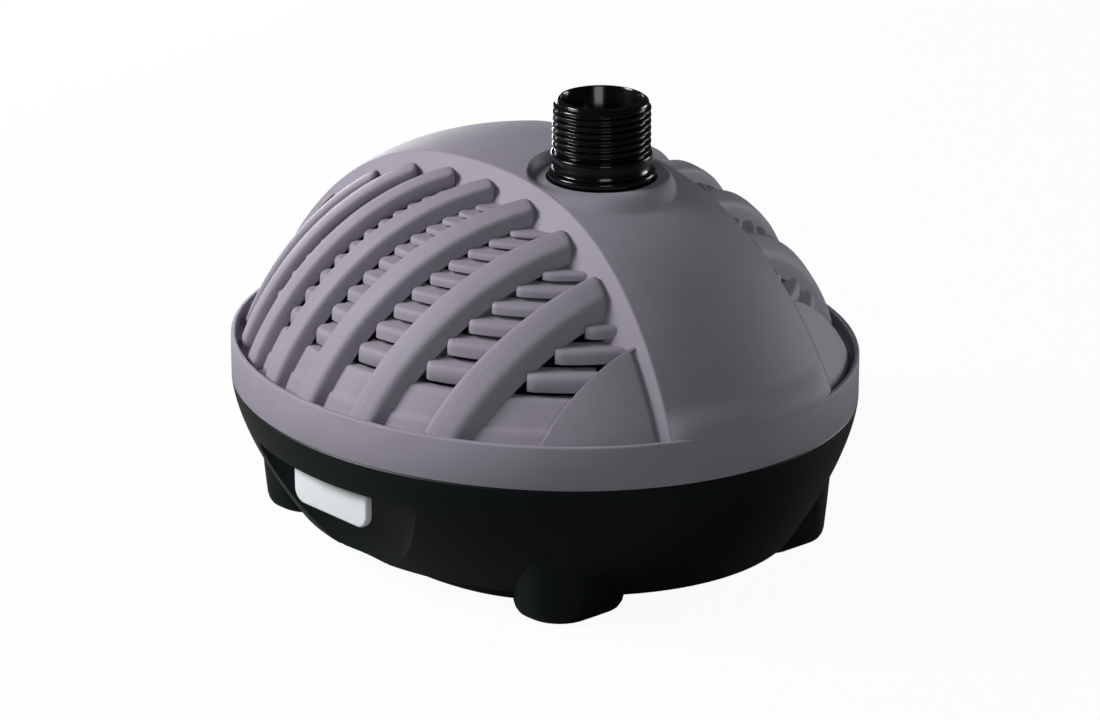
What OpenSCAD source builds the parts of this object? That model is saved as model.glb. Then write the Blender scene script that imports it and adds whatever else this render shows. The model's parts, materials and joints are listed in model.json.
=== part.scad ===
// Submersible pond fountain pump: a domed strainer shell lifts off a dark footed bowl,
// and a wet rotor pump inside feeds the threaded outlet that stands through the dome.
// Millimetres, +Z up, origin on the ground under the middle of the housing, X along the smooth band.

/* [Housing] */
// Length of the housing, along the smooth band
body_l = 228.4; // [214:0.2:244]
// Width of the housing, across the band
body_w = 206.6; // [196:0.2:222]
// Height of the seam between the two shells above the ground
seam_z = 52.6; // [49:0.2:57]
// Height of the plain rim under the dome
rim_h = 15.2; // [13:0.2:18]
// Rise of the dome above the rim
dome_rise = 68.2; // [64:0.2:74]
// Wall of both shells
wall = 3; // [2.4:0.1:3.6]
// How far the shells interlock at the seam
lip_h = 3.4; // [2:0.2:5]

/* [Smooth band] */
// Half width of the band over the crown
band_half_crown = 25; // [22:0.5:28]
// Half width of the band at the rim
band_half_rim = 38; // [34:0.5:42]
// How far the ribs lie below the band
rib_drop = 2.5; // [1.2:0.1:3.6]

/* [Strainer] */
// Width of a rib
rib_w = 8.6; // [6:0.1:10]
// Depth from the band's surface to the louvres
louvre_drop = 7; // [5:0.2:9]
// Number of louvre steps
louvre_count = 10; // [8:1:10]
// Thickness of a louvre
louvre_t = 1.8; // [1.4:0.1:2.4]
// Spacing of the louvres in plan, across the band
louvre_tread = 4.75; // [4.4:0.05:5]

/* [Bowl] */
// Height of the bowl's lower edge above the ground
base_z = 7.5; // [6:0.1:9]
// How far the bowl draws in at its lower edge, lengthways
base_inset_x = 18.5; // [14:0.5:22]
// How far the bowl draws in at its lower edge, crossways
base_inset_y = 22.2; // [18:0.2:26]
// Height of the pan under the bowl above the ground
pan_z = 3; // [2:0.1:4]
// How far the pan's ends lie inside the ends of the housing
pan_end_inset = 37.2; // [32:0.2:44]
// How far the pan's sides lie inside the sides of the housing
pan_side_inset = 31.3; // [28.5:0.2:37]

/* [Feet] */
// Length of a foot, lengthways
foot_l = 30; // [24:0.5:34]
// Width of a foot, crossways
foot_w = 38; // [32:0.5:44]
// How far the feet stand inside the ends of the housing
foot_end_inset = 33; // [29:0.2:36]
// How far the feet stand inside the sides of the housing
foot_side_inset = 37.8; // [34.5:0.1:41]
// Height to which the feet run up the bowl
foot_h = 33; // [28:0.5:38]

/* [Release latches] */
// Width of a latch tab
latch_w = 41; // [34:0.5:46]
// Thickness of a latch
latch_t = 3; // [2.4:0.1:3.6]
// How far a latch tab reaches below the seam
latch_drop = 27; // [24:0.5:32]
// How far a latch's outer face lies inside the side of the housing
latch_inset = 8.3; // [7.3:0.1:9.7]
// Height of the strip between the finger recess and the seam
strip_h = 12.6; // [11:0.2:14.6]
// Radius of the finger recess in plan
recess_r = 75; // [68:0.5:84]
// Depth of the finger recess, from the side of the housing
recess_depth = 23.9; // [21.3:0.2:26.3]
// Diameter of a latch pin
latch_pin_d = 3; // [2.4:0.1:3.4]

/* [Outlet] */
// Distance of the outlet's axis from the middle of the housing
outlet_x = 29.8; // [26:0.2:33]
// Length of the outlet's threaded end
thread_l = 18.7; // [16:0.1:24]
// Outside diameter of the outlet's thread
thread_d = 33.25; // [32:0.05:34.4]
// Pitch of the thread
thread_pitch = 2.309; // [2:0.001:2.6]
// Wall of the outlet under its thread
outlet_wall = 1.645; // [1.4:0.005:2.2]
// How far the flange at the foot of the outlet stands out past the thread
flange_lap = 1.575; // [1.2:0.025:2.4]
// Width of the flat dish round the flange
dish_w = 4.8; // [3.3:0.1:6.3]
// Depth of the dish below the top of the dome
dish_depth = 3.7; // [2.6:0.1:4.8]

/* [Pump] */
// Height of the rotor's axis above the ground
pump_z = 54; // [50:0.5:57]
// Distance of the rotor's axis from the middle of the housing, crossways
pump_y = 15; // [14:0.2:16]
// Outside diameter of the motor housing
motor_d = 66; // [64:0.2:69]
// Length of the motor housing
motor_l = 86; // [84:0.5:90]
// Wall of the motor housing and the pump chamber
motor_wall = 3; // [2.4:0.1:3.4]
// Diameter of the magnet
magnet_d = 31; // [29:0.1:31.4]
// Length of the motor housing beyond the two ends of the magnet
magnet_end_room = 46; // [44:0.5:54]
// Diameter of the ceramic shaft
shaft_d = 5; // [4:0.1:6]
// Diameter of the impeller
impeller_d = 42; // [36:0.5:44]
// Number of impeller vanes
vane_count = 6; // [5:1:7]
// Wall of the riser's upper end, inside the outlet
spigot_wall = 2.95; // [2.6:0.05:3.8]

/* [Cable inlet] */
// Diameter of the gland's body
gland_d = 14; // [12:0.2:15]
// Bore of the gland
gland_bore = 7.2; // [6:0.1:8]
// How far the gland's axis lies below the seam
gland_drop = 14.6; // [12.6:0.5:17.6]

/* [Hidden] */

over = 1;             // overrun of every cut
shell_sides = 36;     // sides of the shells in plan
louvre_sides = 24;    // sides of the louvres in plan
fit = 0.05;           // radial clearance of a running fit
gap = 0.3;            // clearance between pieces that move past each other
seat = 0.1;           // clearance between pieces that are fixed together
$fn = 64;

shell_grey = [0.43, 0.42, 0.46];
bowl_green = [0.07, 0.1, 0.1];
gloss_black = [0.03, 0.03, 0.035];
latch_white = [0.9, 0.91, 0.93];
steel_grey = [0.7, 0.71, 0.72];
motor_black = [0.1, 0.1, 0.12];

// Shape of the dome: height over plan radius, as a rounded crown with steep sides
crown_power_share = 2.85;
side_power_share = 1.2;
dome_base_drop = 6.3;
rim_z = seam_z + rim_h;
dome_base_z = rim_z - dome_base_drop;
dome_h = dome_rise + dome_base_drop;
half_l = body_l / 2;
half_w = body_w / 2;
recess_top_z = seam_z - strip_h;
latch_low_z = seam_z - latch_drop;
gland_z = seam_z - gland_drop;
dish_z = rim_z + dome_rise - dish_depth;
flange_d = thread_d + 2 * flange_lap;
dish_r = flange_d / 2 + dish_w;
thread_depth = 1.48;
outlet_bore = thread_d - 2 * (thread_depth + outlet_wall);
spigot_step = 0.45;
spigot_r = outlet_bore / 2 + spigot_step;
discharge_bore = 2 * (spigot_r - spigot_wall);
thread_count = floor(thread_l / thread_pitch);
latch_face_y = half_w - latch_inset;
recess_back_y = half_w - recess_depth;

// Plan radii of the dome's levels, dense where the side turns into the crown
dome_shares = [0.9475, 0.85, 0.73, 0.6, 0.46, 0.3, 0.09];
inner_shares = [0.9075, 0.75, 0.58, 0.38, 0.12];

function dome_z(u, inset) =
    dome_base_z + (dome_h - inset) * pow(1 - pow(u, crown_power_share), 1 / side_power_share);
// Share of the plan radius at which the dome set in by some depth passes a height
function dome_u(z, inset) =
    pow(1 - pow((z - dome_base_z) / (dome_h - inset), side_power_share), 1 / crown_power_share);
function dome_level(u, inset) =
    [dome_z(u, inset), (half_l - inset) * u, (half_w - inset) * u];
function dome_levels(inset, low_z, shares) = concat(
    [dome_level(dome_u(low_z, inset), inset)],
    [for (u = shares) dome_level(u, inset)]);

function ring_points(z, rx, ry, n) =
    [for (i = [0 : n - 1]) [rx * cos(360 * i / n), ry * sin(360 * i / n), z]];

// A closed solid through oval levels, each [height, half length, half width]
module loft(levels, n = shell_sides) {
    k = len(levels);
    points = [for (l = levels) each ring_points(l[0], l[1], l[2], n)];
    sides = [for (j = [0 : k - 2]) for (i = [0 : n - 1])
        let (a = j * n + i, b = j * n + (i + 1) % n)
        each [[a, a + n, b + n], [a, b + n, b]]];
    ends = [[for (i = [0 : n - 1]) i], [for (i = [n - 1 : -1 : 0]) (k - 1) * n + i]];
    polyhedron(points, concat(sides, ends), convexity = 6);
}

// An oval ring whose section is a closed loop of [half length, half width, height]
module oval_ring(section, n = shell_sides) {
    k = len(section);
    points = [for (s = section) each ring_points(s[2], s[0], s[1], n)];
    faces = [for (j = [0 : k - 1]) for (i = [0 : n - 1])
        let (a = j * n + i, b = j * n + (i + 1) % n, c = ((j + 1) % k) * n)
        each [[a, c + i, c + (i + 1) % n], [a, c + (i + 1) % n, b]]];
    polyhedron(points, faces, convexity = 6);
}

// The part of the dome between two depths
module dome_layer(outer, inner) {
    difference() {
        loft(dome_levels(outer, rim_z - ledge_t / 2, dome_shares));
        loft(dome_levels(inner, rim_z - ledge_t, inner_shares));
    }
}

// Smooth band: wider towards both ends of the housing
band_steps = 8;
band_end_x = half_l + over;
function band_half(x) =
    band_half_crown + (band_half_rim - band_half_crown) * pow(x / half_l, 2);
band_outline = concat(
    [for (i = [0 : band_steps]) let (x = band_end_x * (2 * i / band_steps - 1)) [x, band_half(x)]],
    [for (i = [band_steps : -1 : 0]) let (x = band_end_x * (2 * i / band_steps - 1))
        [x, -band_half(x)]]);

module over_dome(low_z) {
    translate([0, 0, low_z])
        linear_extrude(seam_z + body_w)
            children();
}

// Ribs: each runs up from the rim to the band on a slant, its foot and head given as shares
// of the half length, and fans a little from rib to rib
rib_foot_shares = [-0.77, -0.62, -0.46, -0.285, -0.085, 0.155, 0.417];
rib_head_shares = [-0.455, -0.285, -0.12, 0.055, 0.24, 0.42, 0.59];
blank_foot_shares = [-0.9, 0.672];
blank_head_shares = [-0.62, 0.75];
rib_foot_inset = 5;
function rim_y(x, inset) = (half_w - inset) * sqrt(max(0, 1 - pow(x / (half_l - inset), 2)));
function rib_foot(share) = [share * half_l, rim_y(share * half_l, rib_foot_inset)];
function rib_head(share) = [share * half_l, band_half(share * half_l) + rib_w / 2 + rib_drop];

rib_depth = louvre_drop + 2 * louvre_t;

module rib_strip(foot, head, w) {
    hull() {
        translate([foot[0] - w / 2, foot[1]])
            square([w, w / 2]);
        translate(head)
            circle(d = w, $fn = 8);
    }
}

module ribs() {
    intersection() {
        dome_layer(rib_drop, rib_depth);
        over_dome(rim_z - ledge_t)
            for (side = [-1, 1])
                scale([1, side]) {
                    for (i = [0 : len(rib_foot_shares) - 1])
                        rib_strip(rib_foot(rib_foot_shares[i]), rib_head(rib_head_shares[i]),
                            rib_w);
                }
    }
}

// Wall under the edge of each blank field, down to the louvres
module blank_walls() {
    intersection() {
        dome_layer(rib_drop + wall / 2, rib_depth - louvre_t / 2);
        over_dome(rim_z - ledge_t)
            for (side = [-1, 1], end = [-1, 1])
                scale([1, side])
                    difference() {
                        translate([end * wall / 8, 0])
                            blank_field(end);
                        translate([end * wall, 0])
                            blank_field(end);
                    }
    }
}

// Blank end fields beyond the first and the last rib, past a slanted line
module blank_field(end) {
    i = end > 0 ? 1 : 0;
    foot = [blank_foot_shares[i] * half_l, half_w];
    head = [blank_head_shares[i] * half_l, band_half(blank_head_shares[i] * half_l)];
    polygon([foot, head, [head[0], 0], [end * band_end_x, 0], [end * band_end_x, half_w],
        [foot[0], half_w + over]]);
}

// Louvres: steps of equal tread in plan, whose risers stand on the dome set in by louvre_drop
louvre_first_share = 0.915;
slot_share = 0.24;
tread_rise_share = 0.16;
louvre_step = louvre_tread / (half_w - louvre_drop);
louvre_lap = 3;
ledge_t = 4;
plate_lap = 2;
function louvre_u(k) = louvre_first_share - k * louvre_step;
function louvre_z(k) = dome_z(louvre_u(k), louvre_drop);
function louvre_rise(k) = louvre_z(k + 1) - louvre_z(k);

function louvre_point(u, inset, z) =
    [(half_l - louvre_drop) * u - inset, (half_w - louvre_drop) * u - inset, z];

function louvre_section(k) =
    let (z = louvre_z(k), rise = louvre_rise(k), u = louvre_u(k), next = louvre_u(k + 1),
        lip = z + rise * (1 - slot_share - tread_rise_share), back = z + rise * (1 - slot_share))
    [louvre_point(u, 0, z), louvre_point(u, 0, lip), louvre_point(next, louvre_lap, back)];

// The plain plate from the rim's ledge up to the first louvre
module foot_plate() {
    top = louvre_z(0) - louvre_rise(0) * slot_share;
    oval_ring([louvre_point(1, -plate_lap, rim_z - ledge_t * 3 / 4),
        louvre_point(1, -plate_lap, rim_z - ledge_t / 4),
        louvre_point(louvre_u(0), 0, top), louvre_point(louvre_u(0), louvre_lap, top),
        louvre_point(1, louvre_lap, rim_z - ledge_t * 3 / 4)], louvre_sides);
}

module louvres() {
    for (k = [0 : louvre_count - 1])
        oval_ring(louvre_section(k), louvre_sides);
    foot_plate();
}

// Wall that follows the band's edge down to the louvres
cove_w = 3.2;
module cove_outline() {
    difference() {
        offset(delta = cove_w)
            polygon(band_outline);
        offset(delta = -wall)
            polygon(band_outline);
    }
}

module rim_ring() {
    difference() {
        loft([[seam_z, half_l, half_w], [rim_z, half_l, half_w]]);
        loft([[seam_z - over, half_l - wall, half_w - wall],
            [rim_z - ledge_t, half_l - wall, half_w - wall]]);
        loft([[rim_z - ledge_t - over, half_l - louvre_drop, half_w - louvre_drop],
            [rim_z + over, half_l - louvre_drop, half_w - louvre_drop]]);
    }
}

// Catches that the latch noses face, hung inside the rim over each latch
catch_w = 9;
arm_inset = 7.5;
catch_x = latch_w / 2 - arm_inset;
catch_t = 2.6;
bead_reach = 1.6;
bead_h = 2.6;
nose_h = 3;
nose_reach = 1.6;
nose_rise = 2.8;
latch_nose_z = seam_z + nose_rise;
latch_nose_y = latch_face_y - latch_t - nose_reach;
bead_y = latch_nose_y - gap;
catch_y = bead_y - bead_reach - catch_t;
module catches() {
    low_z = latch_nose_z - gap - bead_h;
    for (side = [-1, 1], x = [-catch_x, catch_x])
        scale([1, side, 1])
            translate([x - catch_w / 2, catch_y, 0]) {
                translate([0, 0, low_z])
                    cube([catch_w, catch_t, rim_z - ledge_t / 2 - low_z]);
                translate([0, 0, low_z])
                    cube([catch_w, bead_y - catch_y, bead_h]);
                translate([0, 0, rim_z - ledge_t])
                    cube([catch_w, half_w - wall - catch_y - ledge_t, ledge_t / 2]);
            }
}

hole_r = flange_d / 2 + 2 * gap;
dish_floor_t = 6.5;
dish_skirt = 7;

module upper_shell() {
    color(shell_grey)
        difference() {
            union() {
                rim_ring();
                intersection() {
                    dome_layer(0, wall);
                    over_dome(rim_z - ledge_t)
                        polygon(band_outline);
                }
                intersection() {
                    dome_layer(rib_drop, rib_drop + wall);
                    over_dome(rim_z - ledge_t)
                        for (side = [-1, 1], end = [-1, 1])
                            scale([1, side])
                                blank_field(end);
                }
                intersection() {
                    dome_layer(rib_drop / 2, rib_depth);
                    over_dome(rim_z - ledge_t)
                        cove_outline();
                }
                ribs();
                blank_walls();
                difference() {
                    louvres();
                    over_dome(rim_z - ledge_t - over)
                        polygon(band_outline);
                    over_dome(rim_z - ledge_t - over)
                        for (side = [-1, 1], end = [-1, 1])
                            scale([1, side])
                                translate([end * wall / 2, 0])
                                    blank_field(end);
                }
                translate([outlet_x, 0, dish_z - dish_floor_t])
                    cylinder(r1 = dish_r + dish_skirt, r2 = dish_r, h = dish_floor_t);
                catches();
            }
            translate([outlet_x, 0, dish_z])
                cylinder(r = dish_r, h = body_w);
            translate([outlet_x, 0, rim_z])
                cylinder(r = hole_r, h = body_w);
        }
}

// Bowl: drawn in towards its lower edge along a curve
bowl_curve_share = 1.5;
bowl_shares = [0, 0.08, 0.18, 0.32, 0.5, 0.72, 1];
function bowl_level(t, inset) = [
    base_z + (seam_z - base_z) * t,
    half_l - base_inset_x * pow(1 - t, bowl_curve_share) - inset,
    half_w - base_inset_y * pow(1 - t, bowl_curve_share) - inset];
function bowl_levels(inset) = [for (t = bowl_shares) bowl_level(t, inset)];

pan_corner_share = 3;
function pan_point(i, inset) =
    let (a = 360 * i / shell_sides, c = cos(a), s = sin(a))
    [(half_l - pan_end_inset - inset) * sign(c) * pow(abs(c), 2 / pan_corner_share),
        (half_w - pan_side_inset - inset) * sign(s) * pow(abs(s), 2 / pan_corner_share)];
module pan_outline(inset) {
    polygon([for (i = [0 : shell_sides - 1]) pan_point(i, inset)]);
}

foot_flare = 2.4;
foot_edge_r = 3;
foot_top_r = 9;
foot_round_share = 0.94;
foot_r = foot_round_share * foot_l / 2;
module foot_pad(z, grow, h) {
    translate([0, 0, z])
        linear_extrude(h)
            offset(r = foot_r + grow)
                square([foot_l - 2 * foot_r, foot_w - 2 * foot_r], center = true);
}

module feet() {
    for (sx = [-1, 1], sy = [-1, 1])
        translate([sx * (half_l - foot_end_inset - foot_l / 2),
            sy * (half_w - foot_side_inset - foot_w / 2), 0])
            hull() {
                foot_pad(0, -foot_edge_r, foot_edge_r);
                foot_pad(foot_edge_r, 0, foot_edge_r);
                foot_pad(foot_h - foot_top_r, foot_flare, foot_edge_r);
                foot_pad(foot_h - foot_edge_r, foot_flare - foot_top_r, foot_edge_r);
            }
}

recess_y = recess_back_y + recess_r;
recess_plate_t = 3;
plate_top_z = recess_top_z + recess_plate_t;

module at_recess(side) {
    translate([0, side * recess_y, 0])
        children();
}

// Walls behind and over the finger recess
module recess_walls() {
    for (side = [-1, 1])
        intersection() {
            loft(bowl_levels(wall / 2));
            at_recess(side)
                cylinder(r = recess_r + wall, h = plate_top_z, $fn = 144);
        }
}

// The latch pins rest in lugs on the plate over each recess
coil_r = 2;
wire_d = 0.8;
latch_axis_y = latch_face_y - latch_t / 2;
latch_axis_z = plate_top_z + coil_r + wire_d / 2 + seat;
lug_t = 3;
lug_room = 0.7;
lug_x = latch_w / 2 + lug_room;
lug_reach = 3;
pin_r = latch_pin_d / 2;
barrel_t = 1.5;
barrel_r = pin_r + barrel_t;

module latch_lugs() {
    for (side = [-1, 1], end = [-1, 1])
        scale([end, side, 1])
            hull() {
                translate([lug_x, latch_axis_y - lug_reach, plate_top_z - over])
                    cube([lug_t, 2 * lug_reach, over]);
                translate([lug_x, latch_axis_y, latch_axis_z])
                    rotate([0, 90, 0])
                        cylinder(r = lug_reach, h = lug_t);
            }
}

// Room behind the strip for the arms to swing
swing_room = 1.9;
module latch_pockets() {
    for (side = [-1, 1])
        scale([1, side, 1])
            translate([-lug_x - lug_t, 0, plate_top_z])
                cube([2 * (lug_x + lug_t), latch_face_y + swing_room, seam_z]);
}

window_room = 2;
module latch_windows() {
    inner_y = latch_face_y - latch_t - window_room;
    for (side = [-1, 1])
        scale([1, side, 1]) {
            translate([-lug_x + gap, inner_y, recess_top_z - over])
                cube([2 * (lug_x - gap), latch_face_y + window_room - inner_y,
                    recess_plate_t + 2 * over]);
            translate([-lug_x - lug_t - over, latch_axis_y, latch_axis_z])
                rotate([0, 90, 0])
                    cylinder(r = (pin_r + fit) / cos(180 / $fn), h = 2 * (lug_x + lug_t + over));
        }
}

// Saddles and posts carry the motor
stub_wall = 2.5;
stub_r = discharge_bore / 2 + stub_wall;
front_x = outlet_x - stub_r - gap;
motor_x = front_x - motor_l;
motor_r = motor_d / 2;
end_flange_r = motor_r + motor_wall;
saddle_t = 6;
saddle_half = 26.4;
saddle_shares = [0.12, 0.82];
clamp_share = 0.47;
clamp_w = 12;
post_w = 12;
clamp_t = 3;
post_y = motor_r + clamp_t + gap + post_w / 2;
clamp_x = motor_x + motor_l * clamp_share;
floor_z = pan_z + wall;

module saddles() {
    for (s = saddle_shares)
        translate([motor_x + motor_l * s - saddle_t / 2, pump_y - saddle_half, floor_z - over])
            cube([saddle_t, 2 * saddle_half, pump_z - floor_z - motor_r / 2]);
    for (side = [-1, 1])
        hull() {
            translate([clamp_x - clamp_w / 2, pump_y + side * post_y - post_w / 2, floor_z - over])
                cube([clamp_w, post_w, over]);
            translate([clamp_x - clamp_w / 2, pump_y + side * post_y - post_w / 2,
                pump_z - clamp_t - over])
                cube([clamp_w, post_w, over]);
        }
}

gland_recess = 1.2;
gland_seat_x = half_l - base_inset_x * pow(1 - (gland_z - base_z) / (seam_z - base_z),
    bowl_curve_share) - gland_recess;
gland_boss_t = 4.5;
gland_boss_r = gland_d / 2 + gland_boss_t;
gland_boss_l = 8;
screw_r = 2;
clamp_screw_l = 16;
lip_root = 2.4;

module lower_shell() {
    color(bowl_green)
        difference() {
            union() {
                difference() {
                    union() {
                        loft(bowl_levels(0));
                        feet();
                        translate([0, 0, pan_z])
                            linear_extrude(base_z - pan_z + wall)
                                pan_outline(0);
                    }
                    intersection() {
                        translate([0, 0, wall])
                            loft(concat(bowl_levels(wall),
                                [[seam_z + over, half_l - wall, half_w - wall]]));
                        translate([0, 0, base_z + wall])
                            loft([[0, half_l, half_w], [body_w, half_l, half_w]]);
                    }
                    translate([0, 0, floor_z])
                        linear_extrude(base_z)
                            pan_outline(wall);
                    loft([[seam_z - wall, half_l - wall, half_w - wall],
                        [seam_z + over, half_l - wall, half_w - wall]]);
                    latch_pockets();
                }
                difference() {
                    loft([[seam_z - 2 * wall, half_l - lip_root, half_w - lip_root],
                        [seam_z, half_l - lip_root, half_w - lip_root],
                        [seam_z, half_l - wall - gap, half_w - wall - gap],
                        [seam_z + lip_h, half_l - wall - gap, half_w - wall - gap]]);
                    loft([[seam_z - 2 * wall - over, half_l - 2 * wall, half_w - 2 * wall],
                        [seam_z + lip_h + over, half_l - 2 * wall, half_w - 2 * wall]]);
                    latch_pockets();
                }
                recess_walls();
                latch_lugs();
                saddles();
                translate([-gland_seat_x, 0, gland_z])
                    rotate([0, 90, 0])
                        cylinder(r = gland_boss_r, h = gland_boss_l);
            }
            for (side = [-1, 1])
                at_recess(side)
                    translate([0, 0, -over])
                        cylinder(r = recess_r, h = recess_top_z + over, $fn = 144);
            latch_windows();
            translate([motor_x - over, pump_y, pump_z])
                rotate([0, 90, 0])
                    cylinder(r = motor_r + seat, h = motor_l + 2 * over);
            for (side = [-1, 1])
                translate([clamp_x, pump_y + side * post_y, pump_z - clamp_t - clamp_screw_l])
                    cylinder(r = screw_r + fit, h = clamp_screw_l + over, $fn = 32);
            translate([-half_l - over, 0, gland_z])
                rotate([0, 90, 0])
                    cylinder(r = gland_d / 2 + seat, h = half_l / 3);
            translate([-half_l - over, 0, gland_z])
                rotate([0, 90, 0])
                    cylinder(r = gland_boss_r, h = half_l + over - gland_seat_x);
        }
}

// Release latch: tab below the pin, two arms with noses above it
arm_w = 10;
arm_gap = 4.2;
tab_r = 5;

module tab_outline(low, high) {
    w = latch_w / 2;
    union() {
        translate([-w, low + tab_r])
            square([latch_w, high - low - tab_r]);
        translate([-w + tab_r, low])
            square([latch_w - 2 * tab_r, tab_r]);
        for (x = [-w + tab_r, w - tab_r])
            translate([x, low + tab_r])
                circle(r = tab_r);
    }
}

module latch() {
    back_y = -latch_face_y + latch_t;
    tab_top = latch_axis_z;
    arm_top = latch_nose_z + nose_h;
    difference() {
        union() {
            translate([0, back_y, 0])
                rotate([90, 0, 0])
                    linear_extrude(latch_t)
                        tab_outline(latch_low_z, tab_top);
            for (x = [-latch_w / 2, arm_gap])
                translate([x, -latch_axis_y, latch_axis_z])
                    rotate([0, 90, 0])
                        cylinder(r = barrel_r, h = latch_w / 2 - arm_gap);
            for (x = [-catch_x, catch_x])
                translate([x - arm_w / 2, -latch_face_y, latch_axis_z]) {
                    cube([arm_w, latch_t, arm_top - latch_axis_z]);
                    translate([0, 0, latch_nose_z - latch_axis_z])
                        cube([arm_w, latch_t + nose_reach, nose_h]);
                }
        }
        translate([-latch_w, -latch_axis_y, latch_axis_z])
            rotate([0, 90, 0])
                cylinder(r = pin_r + fit, h = 2 * latch_w);
        translate([-arm_gap, -latch_face_y - over, plate_top_z - over])
            cube([2 * arm_gap, latch_t + 2 * over, latch_axis_z]);
    }
}

module latch_front() {
    color(latch_white)
        latch();
}

module latch_back() {
    color(latch_white)
        mirror([0, 1, 0])
            latch();
}

module latch_pin(side) {
    color(steel_grey)
        translate([-lug_x - lug_t, side * latch_axis_y, latch_axis_z])
            rotate([0, 90, 0])
                cylinder(r = pin_r, h = 2 * (lug_x + lug_t));
}

module latch_pin_front() {
    latch_pin(-1);
}

module latch_pin_back() {
    latch_pin(1);
}

// Torsion spring on the pin: one leg lies on the plate, the other behind the tab
spring_turns = 6;
spring_pitch = 1.05;
spring_steps = 14;
spring_leg = 9;
spring_half = spring_turns * spring_pitch / 2;
spring_count = round(spring_turns * spring_steps + spring_steps * 3 / 4);
function spring_angle(i) = 270 - 360 * i / spring_steps;
function coil_point(i) = [
    -spring_half + 2 * spring_half * i / spring_count,
    coil_r * cos(spring_angle(i)), coil_r * sin(spring_angle(i))];
spring_path = concat(
    [[-spring_half, spring_leg, -coil_r]],
    [for (i = [0 : spring_count]) coil_point(i)],
    [[spring_half, coil_r, -spring_leg]]);

function unit(v) = v / norm(v);
module wire(path, r, sides) {
    n = len(path);
    function along(i) = unit(path[min(i + 1, n - 1)] - path[max(i - 1, 0)]);
    function out(i) = unit(cross(along(i), [1, 0, 0]));
    points = [for (i = [0 : n - 1]) for (j = [0 : sides - 1])
        let (a = 360 * j / sides, o = out(i), s = cross(along(i), out(i)))
        path[i] + r * (cos(a) * o + sin(a) * s)];
    walls = [for (i = [0 : n - 2]) for (j = [0 : sides - 1])
        let (a = i * sides + j, b = i * sides + (j + 1) % sides)
        each [[a, a + sides, b + sides], [a, b + sides, b]]];
    polyhedron(points, concat(walls, [[for (j = [0 : sides - 1]) j],
        [for (j = [sides - 1 : -1 : 0]) (n - 1) * sides + j]]), convexity = 10);
}

module latch_spring(side) {
    color(steel_grey)
        scale([1, -side, 1])
            translate([0, -latch_axis_y, latch_axis_z])
                wire(spring_path, wire_d / 2, 6);
}

module latch_spring_front() {
    latch_spring(-1);
}

module latch_spring_back() {
    latch_spring(1);
}

// Outlet: threaded nozzle with a collar and a flange, standing through the dish
crest_share = 0.2;
flange_z = dish_z + gap;
flange_t = 2.4;
neck_h = 2.5;
collar_h = 3.6;
collar_step = 0.5;
collar_r = thread_d / 2 + collar_step;
neck_step = 0.4;
neck_r = thread_d / 2 - neck_step;
thread_z = flange_z + flange_t + neck_h + collar_h;
outlet_top_z = thread_z + thread_l;
tube_step = 0.6;
tube_r = thread_d / 2 - tube_step;
tube_l = 18.6;
fitting_low_z = flange_z - tube_l;
socket_end_t = 4.3;
socket_top_z = flange_z - socket_end_t;

module outlet_fitting() {
    crest_r = thread_d / 2;
    root_r = crest_r - thread_depth;
    flat = thread_pitch * crest_share / 2;
    first = outlet_top_z - thread_pitch * thread_count;
    color(gloss_black)
        at_outlet()
            difference() {
                union() {
                    translate([0, 0, fitting_low_z])
                        cylinder(r = tube_r, h = flange_z - fitting_low_z);
                    translate([0, 0, flange_z])
                        cylinder(d = flange_d, h = flange_t);
                    translate([0, 0, flange_z + flange_t])
                        cylinder(r = neck_r, h = neck_h);
                    translate([0, 0, flange_z + flange_t + neck_h])
                        cylinder(r = collar_r, h = collar_h);
                    rotate_extrude()
                        polygon(concat([[0, thread_z - over], [root_r, thread_z - over]],
                            [for (i = [0 : thread_count - 1])
                                let (z = first + thread_pitch * (i + 1 / 2))
                                each [[root_r, z - thread_pitch / 2 + flat], [crest_r, z - flat],
                                    [crest_r, z + flat], [root_r, z + thread_pitch / 2 - flat]]],
                            [[root_r, outlet_top_z], [0, outlet_top_z]]));
                }
                translate([0, 0, fitting_low_z - over])
                    cylinder(r = spigot_r + fit, h = socket_top_z - fitting_low_z + over);
                cylinder(d = outlet_bore, h = outlet_top_z + over);
            }
}

module at_outlet() {
    translate([outlet_x, 0, 0])
        children();
}

// Ring seal on the riser's spigot
seal_t = 2;
seal_z = (fitting_low_z + socket_top_z) / 2;
module outlet_seal() {
    color(motor_black)
        translate([outlet_x, 0, seal_z - seal_t / 2])
            difference() {
                cylinder(r = spigot_r + fit / 2, h = seal_t);
                translate([0, 0, -over])
                    cylinder(r = spigot_r - seal_t + fit, h = seal_t + 2 * over);
            }
}

// Riser between the pump chamber's stub and the outlet
stub_l = 9;
stub_top_z = pump_z + end_flange_r + stub_l;
riser_low_z = pump_z + end_flange_r + gap;
riser_wall = 2.5;
riser_r = stub_r + riser_wall;
module riser_pipe() {
    color(motor_black)
        translate([outlet_x, 0, 0])
            difference() {
                union() {
                    translate([0, 0, riser_low_z])
                        cylinder(r = riser_r, h = fitting_low_z - seat - riser_low_z);
                    translate([0, 0, fitting_low_z - seat - over])
                        cylinder(r = spigot_r, h = socket_top_z - seat - fitting_low_z + over);
                }
                translate([0, 0, riser_low_z - over])
                    cylinder(r = stub_r + fit, h = stub_top_z - riser_low_z + seat + over);
                cylinder(d = discharge_bore, h = socket_top_z + over);
                translate([0, 0, seal_z - seal_t / 2 - fit])
                    difference() {
                        cylinder(r = spigot_r + over, h = seal_t + 2 * fit);
                        translate([0, 0, -over])
                            cylinder(r = spigot_r - seal_t, h = seal_t + 2 * fit + 2 * over);
                    }
            }
}

// Everything on the rotor's axis is drawn along X from the motor's rear end
module on_axis(x) {
    translate([x, pump_y, pump_z])
        rotate([0, 90, 0])
            children();
}

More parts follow.
